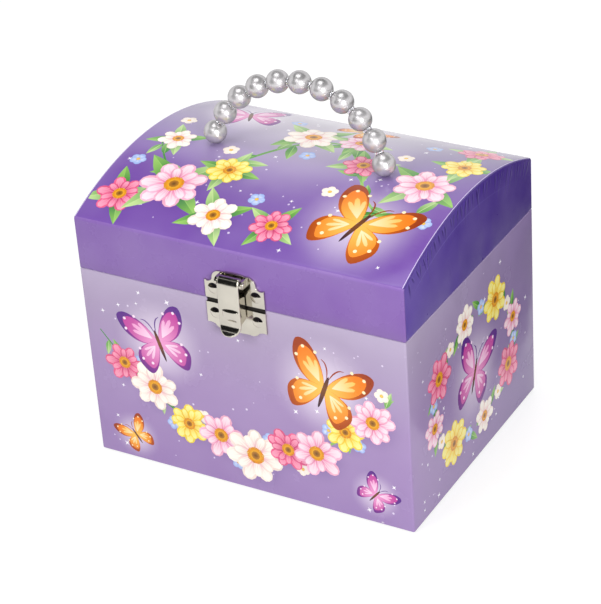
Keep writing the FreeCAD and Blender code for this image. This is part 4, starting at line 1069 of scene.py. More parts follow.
bay_us = [-ROD_X - ROD_BAY - 0.15, -ROD_X - ROD_BAY, -ROD_X + ROD_BAY, -ROD_X + ROD_BAY + 0.15]
US_X = np.concatenate([
    np.linspace(-HALF_W + EDGE_R, -ROD_X - 2.0, 4), bay_us, np.linspace(-54, 54, 13),
    np.linspace(ROD_X + 2.0, HALF_W - EDGE_R, 4)])
US_Y = np.linspace(-HALF_D + EDGE_R, HALF_D - EDGE_R, 17)
SIDES = (
    (US_X, lambda u, v, d: (u, d - HALF_D, v)),
    (US_Y, lambda u, v, d: (HALF_W - d, u, v)),
    (US_X, lambda u, v, d: (-u, HALF_D - d, v)),
    (US_Y, lambda u, v, d: (d - HALF_W, -u, v)),
)
BACK = 2


def corner_radius(inset):
    return max(EDGE_R - inset, LEAST_R)


def shrink(side, inset):
    """Half length of a side and the scale that fits its points at an inset."""
    half = HALF_W if side % 2 == 0 else HALF_D
    return half, (half - inset - corner_radius(inset)) / (half - EDGE_R)


def edge_ring(inset, z, bay=None):
    """Ring of points round the box at an inset from its faces, with a bay for the stop rod."""
    ring = []
    radius = corner_radius(inset)
    for side, (us, lift) in enumerate(SIDES):
        half, scale = shrink(side, inset)
        for u in us:
            depth = inset
            if bay is not None and side == BACK and abs(u + ROD_X) <= ROD_BAY + 1e-6:
                depth = min(inset, bay)
            ring.append(lift(u * scale, z, depth))
        corner = lift(half - inset - radius, z, inset + radius)
        for k in range(1, EDGE_STEPS):
            a = math.pi / 2 * (side + k / EDGE_STEPS) - math.pi / 2
            ring.append((corner[0] + radius * math.cos(a), corner[1] + radius * math.sin(a), z))
    return ring


print(f"{len(edge_ring(0.0, 0.0))} points in a ring round the box")

# %% [markdown]
# ## The body sleeve
# Each side is a printed sheet outside and a plain one behind it, with a hole at the back for the
# winding key. The rounded corners join the sides, and a folded rim joins outside and inside, so
# the result is a thin closed shell and not a painted surface.

# %% Body paper
FOOT_Z = 0.8
BODY_TOP = 95.2
KEY_Z = 20.0
KEY_HOLE = 3.0
INNER = 0.385
BAY_DEPTH = 1.0
RIM = ((0.0, 95.2), (0.1, 95.45), (0.32, 95.6), (3.75, 95.6), (3.98, 95.5), (4.05, 94.1),
       (3.905, 94.1), (3.905, 95.505), (0.395, 95.505), (INNER, 95.2))


def round_hole(radius, z, count=24):
    turn = [2 * math.pi * k / count for k in range(count)]
    return [(radius * math.cos(a), z + radius * math.sin(a)) for a in turn]


body_vs = np.linspace(FOOT_Z, BODY_TOP, 10)
body_skin = Skin()
key_ring = round_hole(KEY_HOLE, KEY_Z)
for side, art in enumerate((FRONT_ART, RIGHT_ART, BACK_ART, LEFT_ART)):
    us, lift = SIDES[side]
    hole = key_ring if side == BACK else None
    cut = cut_sheet(rectangle(us, body_vs), art, hole=hole)
    body_skin.sheet(cut, lambda u, v: lift(u, v, 0.0))
    plain = cut_sheet(rectangle(us * shrink(side, INNER)[1], body_vs), hole=hole)
    body_skin.sheet(plain, lambda u, v: lift(u, v, INNER), flip=True)
rings = [[edge_ring(inset, z) for z in body_vs] for inset in (0.0, INNER)]
flat_counts = [len(us) for us, lift in SIDES]
starts = np.cumsum([0] + [n + EDGE_STEPS - 1 for n in flat_counts])
count = len(rings[0][0])
for wall, (low, high) in enumerate([pair for rows in rings for pair in zip(rows, rows[1:])]):
    for side in range(4):
        for k in range(starts[side] + flat_counts[side] - 1, starts[side + 1]):
            n = (k + 1) % count
            corners = [low[k], low[n], high[n], high[k]]
            body_skin.face(corners if wall < len(body_vs) - 1 else corners[::-1])
lift = SIDES[BACK][1]
for near, far in zip(key_ring, key_ring[1:] + key_ring[:1]):
    body_skin.face([lift(*near, 0), lift(*far, 0), lift(*far, INNER), lift(*near, INNER)])
rim_rings = [edge_ring(inset, z, BAY_DEPTH) for inset, z in RIM]
for low, high in zip(rim_rings, rim_rings[1:]):
    body_skin.band(low, high)
body_skin.band(edge_ring(INNER, FOOT_Z), edge_ring(0.0, FOOT_Z))
body_paper = body_skin.build("body_paper_sleeve", [BODY_PAPER])
dressed(body_paper, "box", "body_wrap")
print(f"body paper: {len(body_paper.data.polygons)} faces")

# %% [markdown]
# ## Section of the lid
# The lid is a straight lip below a dome, and the dome is a part of a cylinder. Its section is one
# line from the front foot over the top to the back foot. The outward way at each point tells where
# the paper goes when it is set in or rounded off.

# %% Lid section
LID_FOOT = 96.2
DOME_TOP = 134.4
DOME_R = (HALF_D ** 2 + (DOME_TOP - LIP_TOP) ** 2) / (2 * (DOME_TOP - LIP_TOP))
DOME_CZ = DOME_TOP - DOME_R
DOME_HALF = math.asin(HALF_D / DOME_R)
DOME_STEPS = 72
CREASE = 0.7
LIP_STEPS = 5


def lid_profile(inset):
    """Section of the lid from the front foot over the dome to the back foot, and its outward ways."""
    y = HALF_D - inset
    radius = DOME_R - inset
    half = math.asin(y / radius)
    start = half - CREASE / radius
    line = [(-y, z) for z in np.linspace(LID_FOOT, LIP_TOP - 1.2, LIP_STEPS)]
    line.append((-y, LIP_TOP - CREASE))
    turns = np.linspace(-start, start, DOME_STEPS + 1)
    arc = [(radius * math.sin(a), DOME_CZ + radius * math.cos(a)) for a in turns]
    line += arc + [(-p, z) for p, z in line[::-1]]
    p = np.array(line)
    leg = np.diff(p, axis=0)
    leg = np.stack([-leg[:, 1], leg[:, 0]], 1) / np.linalg.norm(leg, axis=1)[:, None]
    way = np.concatenate([[leg[0]], leg[1:] + leg[:-1], [leg[-1]]])
    return p, way / np.linalg.norm(way, axis=1)[:, None]


print(f"dome radius {DOME_R:.1f} mm, rise {DOME_TOP - LIP_TOP:.1f} mm")

# %% [markdown]
# ## Pleats on the lid's ends
# Where the dome's sheet is turned down over the curved end it bunches into small pleats, and a
# plain sheet is pasted over them. The pleats are low ridges below the arc. Beside each one a stroke
# of painted shade and a stroke of painted highlight, and the cut edge of the plain sheet, make them
# show.

# %% Pleats
PLEATS = 34
PLEAT_RNG = np.random.default_rng(5)
# Dark strokes are painted shade and pale strokes painted highlight beside each pleat.
PLEAT_SHADE = (ink("#2C1A5C", 0.75), ink("#3A2870", 0.0))
PLEAT_HIGHLIGHT = (ink("#8070BC", 0.5), ink("#7264B0", 0.0))
PLEAT_START = 0.9
END_SHEET = (ink("#8474C0", 0.5), ink("#7466B4", 0.15))
END_SHEET_DROP = 8.5


def pleat_rows():
    """Angle, half width, length, height and slant of each pleat along one end."""
    reach = DOME_HALF * 0.97
    rows = []
    for k in range(PLEATS):
        angle = -reach + 2 * reach * (k + PLEAT_RNG.uniform(0.2, 0.8)) / PLEATS
        spans = ((0.5, 1.1), (6, 15), (0.1, 0.34), (-0.25, 0.25))
        rows.append((angle, *(PLEAT_RNG.uniform(*span) for span in spans)))
    return rows


def pleat_height(y, z, rows):
    """Height of the pleats at a place on the end, in millimetres."""
    angle = math.atan2(y, z - DOME_CZ)
    depth = DOME_R - EDGE_R - math.hypot(y, z - DOME_CZ)
    height = 0.0
    for at, width, length, tall, slant in rows:
        off = ((angle - at) * DOME_R - slant * depth) / width
        if abs(off) < 3 and 0 < depth < length:
            fall = min(1.0, depth / 1.2) * (1 - depth / length) ** 0.7
            height += tall * math.exp(-off * off) * fall
    return height


def below_arc(angle, depth):
    """Place on the end, at a turn along the arc and a depth below it."""
    radius = DOME_R - EDGE_R - depth
    return (radius * math.sin(angle), DOME_CZ + radius * math.cos(angle))


def pleat_art(rows):
    """Painted shade and painted highlight beside the pleats, and the cut edge of the end sheet pasted over
    them.
    """
    art = Artwork()
    for at, width, length, tall, slant in rows:
        for shift, wide, paints in ((0.0, 1.3, PLEAT_SHADE), (1.2, 0.8, PLEAT_HIGHLIGHT)):
            line = [below_arc(at + (shift * width + slant * depth) / DOME_R, depth)
                    for depth in np.linspace(PLEAT_START, PLEAT_START + 0.75 * length, 5)]
            art.ribbon(line, wide * width, *paints)
    turns = np.linspace(-0.9, 0.75, 40) * DOME_HALF
    cut_edge = [below_arc(a, END_SHEET_DROP + 0.5 * math.sin(9 * a)) for a in turns]
    art.ribbon(cut_edge, 0.55, *END_SHEET)
    return art


def pleat_spots():
    """Points in a band below the arc, close enough together to carry the pleats."""
    spots = []
    for depth in (0.5, 1.2, 2.2, 3.4, 4.8, 6.4, 8.2, 10.2, 12.4, 15.0):
        for angle in np.linspace(-1, 1, 271) * (DOME_HALF - 0.012 - 0.0008 * depth):
            spots.append(below_arc(angle, depth))
    return spots


print(f"{PLEATS} pleats on each end")

# %% [markdown]
# ## The paper on the lid
# The lid has plain purple paper on its lip and ends, and a printed sheet over the dome. That sheet
# is cut flat, with a fold line at every step of the arc, and then rolled up over the section. A
# narrow rounded strip joins it to the ends: a pale line along the fold, partly wear and partly
# painted highlight, then a darker strip of painted shade where the edge turns down to the end.

# %% Lid paper
# Pale fold line, partly wear and partly painted highlight; beyond it a darker strip of painted shade.
WEAR_AND_HIGHLIGHT = ink("#D9CCEE", 0.85)
FOLD_SHADE = ink("#4A3684", 0.9)
DOME_AT = LIP_STEPS + 1
PLAIN_SLOT = 1
END_SLOT = 2
LID_RIM = ((INNER, LID_FOOT), (0.395, 95.895), (3.905, 95.895), (3.905, 111.8), (4.05, 111.8),
           (3.98, 95.9), (3.75, 95.8), (0.32, 95.8), (0.1, 95.95), (0.0, LID_FOOT))


def moved_up(art, rise):
    """The same artwork, further up its sheet."""
    move = np.array((0, rise))
    made = Artwork()
    made.fades = [(centre + move, radius) for centre, radius in art.fades]
    for outline, heart, reach, inner, outer in art.layers:
        made.add(outline + move, heart + move, reach, inner, outer)
    return made


def lid_surface(skin, inset, art, flip):
    """Strip over the dome, rounded edges and both ends of the lid at an inset."""
    radius = corner_radius(inset)
    profile, way = lid_profile(inset)
    run = np.concatenate([[0], np.cumsum(np.linalg.norm(np.diff(profile, axis=0), axis=1))])
    us = US_X * shrink(0, inset)[1]
    dome_start, dome_end = run[DOME_AT], run[-DOME_AT - 1]

    def roll(u, v):
        return (u, np.interp(v, run, profile[:, 0]), np.interp(v, run, profile[:, 1]))

    def which(middle):
        return 0 if dome_start < middle[1] < dome_end else PLAIN_SLOT

    folds = [((us[0], v), (us[-1], v)) for v in run[1:-1]]
    skin.sheet(cut_sheet(rectangle(us, run), moved_up(art, dome_start), folds), roll, which, flip)
    for sign in (1, -1):
        columns = []
        for k in range(EDGE_STEPS + 1):
            a = math.pi / 2 * k / EDGE_STEPS
            x = sign * (HALF_W - inset - radius + radius * math.sin(a))
            drop = profile - way * radius * (1 - math.cos(a))
            columns.append([(x, y, z) for y, z in drop])
        for column, (near, far) in enumerate(zip(columns, columns[1:])):
            for k in range(len(run) - 1):
                paint = None
                # First column: wear and painted highlight; the others: painted shade over the turn.
                if DOME_AT <= k < len(run) - DOME_AT - 1 and not flip:
                    paint = [WEAR_AND_HIGHLIGHT if column == 0 else FOLD_SHADE] * 4
                corners = [near[k], far[k], far[k + 1], near[k + 1]]
                skin.face(corners if (sign > 0) != flip else corners[::-1], PLAIN_SLOT, paint)
        rim = [(y, z) for x, y, z in columns[-1]]
        border = [(y, LID_FOOT) for y in US_Y * shrink(1, inset)[1]] + rim[-2:0:-1]
        x = sign * (HALF_W - inset)
        pleats = [] if flip else pleat_rows()

        def lift(u, v):
            return (x + sign * pleat_height(u, v, pleats), u, v)

        marks = pleat_art(pleats) if pleats else NO_ART
        cut = cut_sheet(border, marks, spots=pleat_spots() if pleats else ())
        skin.sheet(cut, lift, END_SLOT, (sign < 0) != flip)


lid_skin = Skin()
dome_length = 2 * DOME_R * DOME_HALF
DOME_ART = vine(78, dome_length)
# Painted shade behind the windows of the upper catch plate.
shade_behind_windows(DOME_ART, WINDOW_HIGH_Z - LIP_TOP)
lid_surface(lid_skin, 0.0, DOME_ART, False)
lid_surface(lid_skin, INNER, NO_ART, True)
lid_rings = [edge_ring(inset, z) for inset, z in LID_RIM]
for low, high in zip(lid_rings, lid_rings[1:]):
    lid_skin.band(low, high, PLAIN_SLOT)
lid_paper = lid_skin.build("lid_paper_cover", [DOME_PAPER, PLAIN_PAPER, END_PAPER])
dressed(lid_paper, "lid", "lid_wrap")
print(f"lid paper: {len(lid_paper.data.polygons)} faces, dome sheet {dome_length:.0f} mm long")

# %% [markdown]
# ## Dark cards for the metal
# Bright metal shows only what stands round it, and in an all-white studio it turns into a white
# patch. A photographer stands dark cards beside the camera, so that edges and rolls pick up dark
# lines. These cards are seen by reflections only and don't take light from the box. A small white
# panel near the camera is the one bright patch, and two of the lamps are hidden from reflections.

# %% Dark cards


def card(name, place_at, aim, width, height, finish):
    """Flat card that only reflections see, turned to face a point."""
    bpy.ops.mesh.primitive_grid_add(x_subdivisions=2, y_subdivisions=2, size=1)
    made = bpy.context.object
    made.name = name
    made.scale = (width, height, 1)
    stand(made, place_at, Vector(aim) - Vector(place_at))
    for ray in ("camera", "diffuse", "transmission", "shadow", "volume_scatter"):
        setattr(made, "visible_" + ray, False)
    made.data.materials.append(finish)


CARD = new_finish("dark_card", (0.012, 0.012, 0.014, 1), 0.95)[0]
PANEL = new_finish("white_panel", (0.8, 0.8, 0.8, 1), 0.9, Emission_Color=(1, 1, 1, 1),
                   Emission_Strength=5.0)[0]
CARDS = (
    ("card_ceiling", (0, 0.1, 1.4), (0, 0.1, 0), 3.0, 2.4, CARD),
    ("card_front", (-0.85, -1.55, 0.75), (0, -0.07, 0.75), 1.5, 1.6, CARD),
    ("card_table", (0.75, 0.75, 0.004), (0.75, 0.75, 1), 1.3, 1.5, CARD),
    ("card_right", (1.7, -0.9, 0.8), (0, 0, 0.1), 0.9, 1.2, CARD),
    ("panel_camera", (-0.02, -1.05, 1.0), (0, 0, 0.12), 0.36, 0.36, PANEL),
)
for row in CARDS:
    card(*row)
for hidden in ("soft_box_left", "soft_box_back"):
    bpy.data.objects[hidden].visible_glossy = False
print("four dark cards and a white panel stand round the box")

# %% [markdown]
# ## Metal, beads and glass
# The catch, hinges and key are nickel plate, bright but worn by handling. A metal shader needs
# little colour, and its life comes from an uneven polish. A Bevel node rounds the light on stamped
# edges without new faces. The pearls are lacquered: a grey silver body under a clear coat.

# %% Metals and beads


def metal(name, colour, low, high, scale, stretch=(1, 1, 1), edge=0.0):
    """Metal with an uneven polish, a faint tint and fine marks."""
    made, tree, shader = new_finish(name, colour, low, Metallic=1.0)
    polish(shader, noise(tree, scale, 5, stretch), low, high)
    dulled = between(tree, noise(tree, scale / 5, 3), 0.0, 0.6)
    tint(shader, dulled, colour, tinted(colour, 0.72))
    under = None
    if edge:
        under = place(tree, "Bevel", {"Radius": edge}, samples=6).outputs["Normal"]
    bump(shader, noise(tree, scale * 3, 2, stretch), 0.000008, 0.4, under)
    return made


NICKEL = metal("nickel_plate", (0.63, 0.595, 0.52, 1), 0.07, 0.2, 420, edge=0.00022)
DULL_NICKEL = metal("barrelled_nickel", (0.6, 0.575, 0.52, 1), 0.26, 0.42, 420, edge=0.0002)
# Nearly black steel: painted shade on the snap lip and on the hem of the catch.
PAINTED_SHADE_STEEL = metal("steel_painted_shade", (0.035, 0.032, 0.03, 1), 0.32, 0.55, 900)
STEEL = metal("bright_steel", (0.52, 0.53, 0.55, 1), 0.18, 0.36, 500, (1, 6, 1))
ZINC = metal("zinc_casting", (0.46, 0.46, 0.48, 1), 0.36, 0.58, 900, edge=0.0003)
BRASS = metal("turned_brass", (0.71, 0.5, 0.2, 1), 0.16, 0.34, 700, (9, 1, 1), edge=0.0001)

PEARL, tree, shader = new_finish(
    "pearl_lacquer", (0.58, 0.57, 0.575, 1), 0.3, Metallic=0.65, Coat_Weight=0.6, Coat_Roughness=0.06,
    Coat_IOR=1.45, Specular_Tint=(0.28, 0.26, 0.27, 1))
swirl = noise(tree, 160, 4, (1, 1, 2.5))
tint(shader, between(tree, swirl, 0.0, 1.0), (0.54, 0.53, 0.535, 1), (0.66, 0.64, 0.655, 1))
polish(shader, swirl, 0.26, 0.38)

CLEAR, tree, shader = new_finish("clear_bead", (0.94, 0.94, 0.97, 1), 0.03, Transmission_Weight=0.9, IOR=1.5)
polish(shader, noise(tree, 900, 2), 0.02, 0.08)
bump(shader, noise(tree, 1500, 1), 0.00004, 0.6)

MIRROR, tree, shader = new_finish("silvered_glass", (0.86, 0.88, 0.88, 1), 0.02, Metallic=1.0)
polish(shader, noise(tree, 24, 5), 0.012, 0.05, 0.45, 0.8)
print("metals and beads ready")

# %% [markdown]
# ## Board, paper and nylon
# Under the print the box is grey board, which shows only at cut edges. The shelf behind the mirror
# has plain speckled paper, and the gears are moulded nylon, which lets a little light in.

# %% Board and nylon
BOARD, tree, shader = new_finish("grey_board", ink("#B9AC98"), 0.86)
fibre = noise(tree, 700, 6, (1, 1, 4))
tint(shader, fibre, ink("#A39680"), ink("#CABFAC"))
bump(shader, fibre, 0.00003, 0.5)

SHELF_PAPER, tree, shader = new_finish("shelf_paper", ink("#B8A4DA"), 0.42)
speck = between(tree, noise(tree, 1300, 2), 0.0, 1.0, 0.62, 0.7)
tint(shader, speck, ink("#B39DD8"), ink("#E6DBF4"))
bump(shader, noise(tree, 900, 3), 0.00001, 0.5)

NYLON, tree, shader = new_finish("moulded_nylon", ink("#EFEADF"), 0.38, Subsurface_Weight=0.15)
polish(shader, noise(tree, 300, 3), 0.3, 0.46)
tint(shader, noise(tree, 80, 2), ink("#F2EDE2"), ink("#E6DFD0"))
bump(shader, noise(tree, 1200, 2), 0.000008, 0.4)
print("board and nylon:", [made.name for made in (BOARD, SHELF_PAPER, NYLON)])

# %% [markdown]
# ## Cloth
# Flock is a pile of tiny upright fibres, which a sheen lobe shows best: it brightens at a glancing
# view. Satin has the opposite habit, with long soft highlights across the thread, so it gets
# anisotropy and a fine thread relief. Tulle is a net, drawn by the borders of small cells.

# %% Flock, felt, satin, thread and tulle


def pile(name, dark, light, scale, sheen):
    """Short fibres: mottled colour, a rough surface and light at glancing views."""
    made, tree, shader = new_finish(name, light, 0.95, Sheen_Weight=sheen, Sheen_Roughness=0.35,
                                    Specular_IOR_Level=0.1, Sheen_Tint=light)
    brushed = between(tree, noise(tree, 38, 3), 0.0, 0.75)
    tuft = noise(tree, scale, 2)
    colour = blend(tree, brushed, dark, light)
    tint(shader, between(tree, tuft, 0.55, 0.0), colour, tinted(dark, 0.62))
    bump(shader, tuft, 0.00012, 0.7)
    return made


FLOCK = pile("flocked_lining", ink("#8A6CB8"), ink("#AE93D6"), 2600, 0.7)
FELT = pile("base_felt", ink("#4A3A70"), ink("#66549A"), 1500, 0.4)

SATIN, tree, shader = new_finish("satin_cover", ink("#C7A8E0"), 0.34, Anisotropic=0.55, Sheen_Weight=0.25,
                                 Sheen_Roughness=0.3)
weave = {"Vector": surface_point(tree), "Scale": 1400.0, "Distortion": 0.6, "Detail": 1.0}
thread = place(tree, "TexWave", weave, bands_direction="Y")
tint(shader, noise(tree, 120, 3), ink("#B48FD4"), ink("#D9BFEC"))
polish(shader, noise(tree, 260, 3), 0.28, 0.42)
bump(shader, thread.outputs["Fac"], 0.00002, 0.35)

THREAD, tree, shader = new_finish("twisted_thread", ink("#E9E6EA"), 0.55, Sheen_Weight=0.3)
twist = {"Vector": surface_point(tree), "Scale": 900.0, "Distortion": 0.2}
lay = place(tree, "TexWave", twist, bands_direction="DIAGONAL")
tint(shader, lay.outputs["Fac"], ink("#CFCBD2"), ink("#F4F2F6"))
bump(shader, lay.outputs["Fac"], 0.00006, 0.6)

TULLE, tree, shader = new_finish("stiff_tulle", ink("#F6D3E6"), 0.6, Alpha=0.72, Sheen_Weight=0.5)
cells = {"Vector": surface_point(tree), "Scale": 2600.0}
net = place(tree, "TexVoronoi", cells, feature="DISTANCE_TO_EDGE")
mesh_line = between(tree, net.outputs["Distance"], 1.0, 0.0, 0.05, 0.2)
tint(shader, mesh_line, ink("#F0C2DC"), ink("#FFF2FA"))
bump(shader, net.outputs["Distance"], 0.00005, 0.5)
print("cloth:", [made.name for made in (FLOCK, FELT, SATIN, THREAD, TULLE)])

# %% [markdown]
# ## Paints of the dancer
# The dancer is moulded in a skin colour and painted by hand. Her bodice has glitter in its paint,
# which is a fine noise cut off sharply, and her hair has strands that run up and down.

# %% Doll paints
DOLL_SKIN, tree, shader = new_finish("doll_skin", ink("#F1C6AE"), 0.36, Subsurface_Weight=0.12)
tint(shader, noise(tree, 240, 2), ink("#EFC0A8"), ink("#F6D2BE"))
polish(shader, noise(tree, 500, 2), 0.3, 0.44)

DOLL_PINK, tree, shader = new_finish("bodice_paint", ink("#E77FB4"), 0.3, Coat_Weight=0.4,
                                     Coat_Roughness=0.15)
glitter = between(tree, noise(tree, 5200, 1), 0.0, 1.0, 0.62, 0.72)
tint(shader, glitter, ink("#DE6FA8"), ink("#FBD3E8"))
polish(shader, noise(tree, 900, 2), 0.22, 0.4)

DOLL_HAIR, tree, shader = new_finish("hair_paint", ink("#6B4326"), 0.4)
strand = noise(tree, 900, 3, (3, 3, 1))
tint(shader, strand, ink("#54331C"), ink("#80532F"))
bump(shader, strand, 0.00006, 0.6)

PAINT_DARK, tree, shader = new_finish("eye_paint", ink("#2E2230"), 0.25, Coat_Weight=0.5)
polish(shader, noise(tree, 1500, 2), 0.2, 0.34)
PAINT_LIP, tree, shader = new_finish("lip_paint", ink("#D2506A"), 0.3)
polish(shader, noise(tree, 1500, 2), 0.24, 0.4)
print("doll paints:", [made.name for made in (DOLL_SKIN, DOLL_PINK, DOLL_HAIR, PAINT_DARK, PAINT_LIP)])

# %% [markdown]
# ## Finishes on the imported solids
# Every solid has a material slot in its record, so one loop gives each its finish. A few take
# another one, because their slot says what they are made of and not how they look: the shelf behind
# the mirror is board under pasted paper, and the hinge leaves are tumbled dull. The tray's divider
# is a flocked card, so a Bevel modifier rounds its edges.

# %% Finish every solid
SLOT_FINISH = {
    "board": BOARD, "printed_paper": PLAIN_PAPER, "felt": FELT, "flock": FLOCK, "satin": SATIN,
    "nickel": NICKEL, "mirror_glass": MIRROR, "pearl": PEARL, "clear_bead": CLEAR, "cord": THREAD,
    "zinc": ZINC, "steel": STEEL, "brass": BRASS, "nylon": NYLON, "doll_plastic": DOLL_SKIN, "tulle": TULLE,
}
OTHER_FINISH = {
    "mirror_board": SHELF_PAPER, "hinge_leaves_body": DULL_NICKEL, "hinge_leaves_lid": DULL_NICKEL,
}
DIVIDER_EDGE = 0.9


def modify(made, name, kind, **settings):
    """Adds a modifier of that kind with its settings."""
    added = made.modifiers.new(name, kind)
    for key, value in settings.items():
        setattr(added, key, value)


def rounded(made, name, width, **settings):
    """Bevel of that width in millimetres on a piece's sharp edges."""
    modify(made, name, "BEVEL", width=width * MM, segments=4, limit_method="ANGLE", **settings)


for row in frame["record"]["subparts"]:
    solid = NODES[row["node"]]
    solid.data.materials.clear()
    solid.data.materials.append(OTHER_FINISH.get(row["node"], SLOT_FINISH[row["material_slot"]]))
rounded(NODES["tray_divider"], "flocked_edge", DIVIDER_EDGE)

# %% [markdown]
# ## Mesh helpers
# Soft and moulded pieces are built from rings of points: a loft joins ring after ring and closes
# both ends. All of them are given in millimetres, as on a drawing.

# %% Lofts


def piece(name, points, faces, finish, body, slot, sharp=45.0):
    """Mesh piece in millimetres that rides on a body."""
    made = mesh_object(name, points, faces, [finish], sharp)
    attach(made, body)
    return made


def loft(rings, close=True):
    """Points and faces of rings joined one after another, with a point in the middle of each end."""
    count = len(rings[0])
    points = [p for ring in rings for p in ring]
    faces = []
    for row in range(len(rings) - 1):
        for k in range(count):
            n = (k + 1) % count
            a, b = row * count, (row + 1) * count
            faces.append((a + k, a + n, b + n, b + k))
    if close:
        low, high = len(points), len(points) + 1
        points += [np.mean(rings[0], 0), np.mean(rings[-1], 0)]
        last = (len(rings) - 1) * count
        for k in range(count):
            n = (k + 1) % count
            faces.append((low, n, k))
            faces.append((high, last + k, last + n))
    return points, faces


def joined(parts):
    """One list of points and faces from several."""
    points, faces = [], []
    for p, f in parts:
        start = len(points)
        points += list(p)
        faces += [tuple(i + start for i in face) for face in f]
    return points, faces


square = [(0, 0, 0), (1, 0, 0), (1, 1, 0), (0, 1, 0)]
print(f"two rings of four points make {len(loft([square, square])[1])} faces")

# %% [markdown]
# ## Limbs and ovals
# With a smooth path and a radius at each point, a loft makes an arm or a leg. Each ring is turned as
# little as possible from the last one, so the tube doesn't twist, and the ends are rounded. An
# upright loft of ovals makes a trunk or a head.

# %% Limbs and ovals
LEAST_GIRTH = 0.02
CAP_TURNS = (25, 50, 75)


def limb(rows, count=16, per_leg=6):
    """Round tube along rows of x, y, z and radius, with rounded ends."""
    line = smooth_path(rows, per_leg)
    centre, radius = line[:, :3], np.maximum(line[:, 3], LEAST_GIRTH)
    way = np.gradient(centre, axis=0)
    way /= np.linalg.norm(way, axis=1)[:, None]
    side = np.cross(way[0], (0.0, 1.0, 0.0) if abs(way[0][1]) < 0.8 else (1.0, 0.0, 0.0))
    turn = full_turn(count)[:, None]
    rings = []

    def ring(k, side, degrees=0):
        """Ring at a point of the line, or further out on its rounded end."""
        out, wide = math.sin(math.radians(degrees)), math.cos(math.radians(degrees))
        at = centre[k] + way[k] * radius[k] * out
        up = np.cross(way[k], side)
        rings.append(at + radius[k] * wide * (np.cos(turn) * side + np.sin(turn) * up))

    for k in range(len(centre)):
        side = side - way[k] * np.dot(side, way[k])
        side /= np.linalg.norm(side)
        if k == 0:
            for degrees in CAP_TURNS[::-1]:
                ring(0, side, -degrees)
        ring(k, side)
    for degrees in CAP_TURNS:
        ring(-1, side, degrees)
    return loft(rings)


def oval_rings(rows, centre, count, per_leg=6):
    """Upright rings from rows of height, half width, half depth and forward shift."""
    turn = full_turn(count)
    rings = []
    for z, wide, deep, forward in smooth_path(rows, per_leg):
        x = centre[0] + max(wide, LEAST_GIRTH) * np.cos(turn)
        y = centre[1] - forward + max(deep, LEAST_GIRTH) * np.sin(turn)
        rings.append(np.stack([x, y, np.full(count, z)], 1))
    return rings


def oval_loft(rows, centre, count=28, per_leg=6):
    return loft(oval_rings(rows, centre, count, per_leg))


print(f"a plain limb has {len(limb([(0, 0, 0, 1), (0, 0, 5, 1)])[1])} faces")

# %% [markdown]
# ## Hasp
# The hasp of the catch is one strip of plated steel: rolled over its pin at the top, pressed to a
# channel with two side flanges, lanced to a snap bump, and flared to a finger bill at its foot. A
# strip is a section carried along a bent line. This step lays out that line, from the bill's tip
# over the face to the tail of the roll.

# %% Line of the hasp
PIN_Y, PIN_Z = -66.4, 108.3
STRAP_HALF, STRAP_WALL, STRAP_BEND = 5.25, 0.8, 0.7
FRONT_OFF = 2.6
BILL_TOP, ROLL_FOOT = -18.6, -2.7
FLANGE_LOW, FLANGE_TOP, FLANGE_DEEP = -18.3, -6.2, 4.9
FLANGE_ROUND = 1.2
BILL_R, BILL_TURN = 5.0, math.radians(66)
ROLL_TAIL = math.radians(112)
SNAP_LIP, LIP_GAP = -12.4, 0.03


def strap_line():
    """Rows from the bill to the roll's tail: place, way into the sheet and half width."""
    rows = []
    for share in (1 - np.linspace(0.06, 1, 22, endpoint=False) ** 1.6):
        a = BILL_TURN * share
        half = STRAP_HALF * math.sqrt(1 - share ** 2.6)
        rows.append((-FRONT_OFF - BILL_R + BILL_R * math.cos(a), BILL_TOP - BILL_R * math.sin(a),
                     math.cos(a), -math.sin(a), half))
    lip = [SNAP_LIP - LIP_GAP, SNAP_LIP + LIP_GAP]
    flange = [FLANGE_TOP - FLANGE_ROUND * math.cos(t) for t in np.linspace(0, math.pi / 2, 7)]
    for z in sorted(set(np.linspace(BILL_TOP, ROLL_FOOT, 44)) | set(lip) | set(flange)):
        rows.append((-FRONT_OFF, z, 1.0, 0.0, STRAP_HALF))
    for t in np.linspace(0, math.pi / 2, 22)[1:]:
        way = np.array((math.cos(t) * (FRONT_OFF - ROLL_FOOT), -math.sin(t) * FRONT_OFF))
        way /= np.linalg.norm(way)
        y, z = -FRONT_OFF * math.cos(t), ROLL_FOOT + (FRONT_OFF - ROLL_FOOT) * math.sin(t)
        rows.append((y, z, *way, STRAP_HALF))
    for t in np.linspace(0, ROLL_TAIL, 20)[1:]:
        s, c = math.sin(t), math.cos(t)
        rows.append((FRONT_OFF * s, FRONT_OFF * c, -s, -c, STRAP_HALF))
    return rows


print(f"hasp line: {len(strap_line())} rows")

# %% [markdown]
# ## Section of the hasp
# Across each row the strap is a flat channel. Its flanges simply run out where the section narrows,
# and the snap bump is a rise of the face that ends in a cut lip. The lip's faces get nearly black
# steel, painted shade under the bump. A second grid inside gives the sheet its thickness.

# %% Hasp strap
SNAP_X, SNAP_HALF, SNAP_DROP, SNAP_RISE = 0.8, 3.9, 5.0, 1.25
FLANGE_FOOT = 0.9
SHADE_SLOT = 1


def flange_depth(z):
    """How far the side flange reaches behind the face at a height."""
    if z >= FLANGE_TOP or z <= FLANGE_LOW:
        return STRAP_WALL
    run_out = min((FLANGE_TOP - z) / FLANGE_ROUND, (z - FLANGE_LOW) / FLANGE_FOOT, 1.0)
    return STRAP_WALL + (FLANGE_DEEP - STRAP_WALL) * math.sqrt(1 - (1 - run_out) ** 2)


def snap_rise(x, z):
    """Height of the lanced bump on the face."""
    u, v = (x - SNAP_X) / SNAP_HALF, (SNAP_LIP - z) / SNAP_DROP
    if abs(u) >= 1 or not 0 <= v < 1:
        return 0.0
    return SNAP_RISE * math.sqrt(1 - u * u) * (1 - v * v)


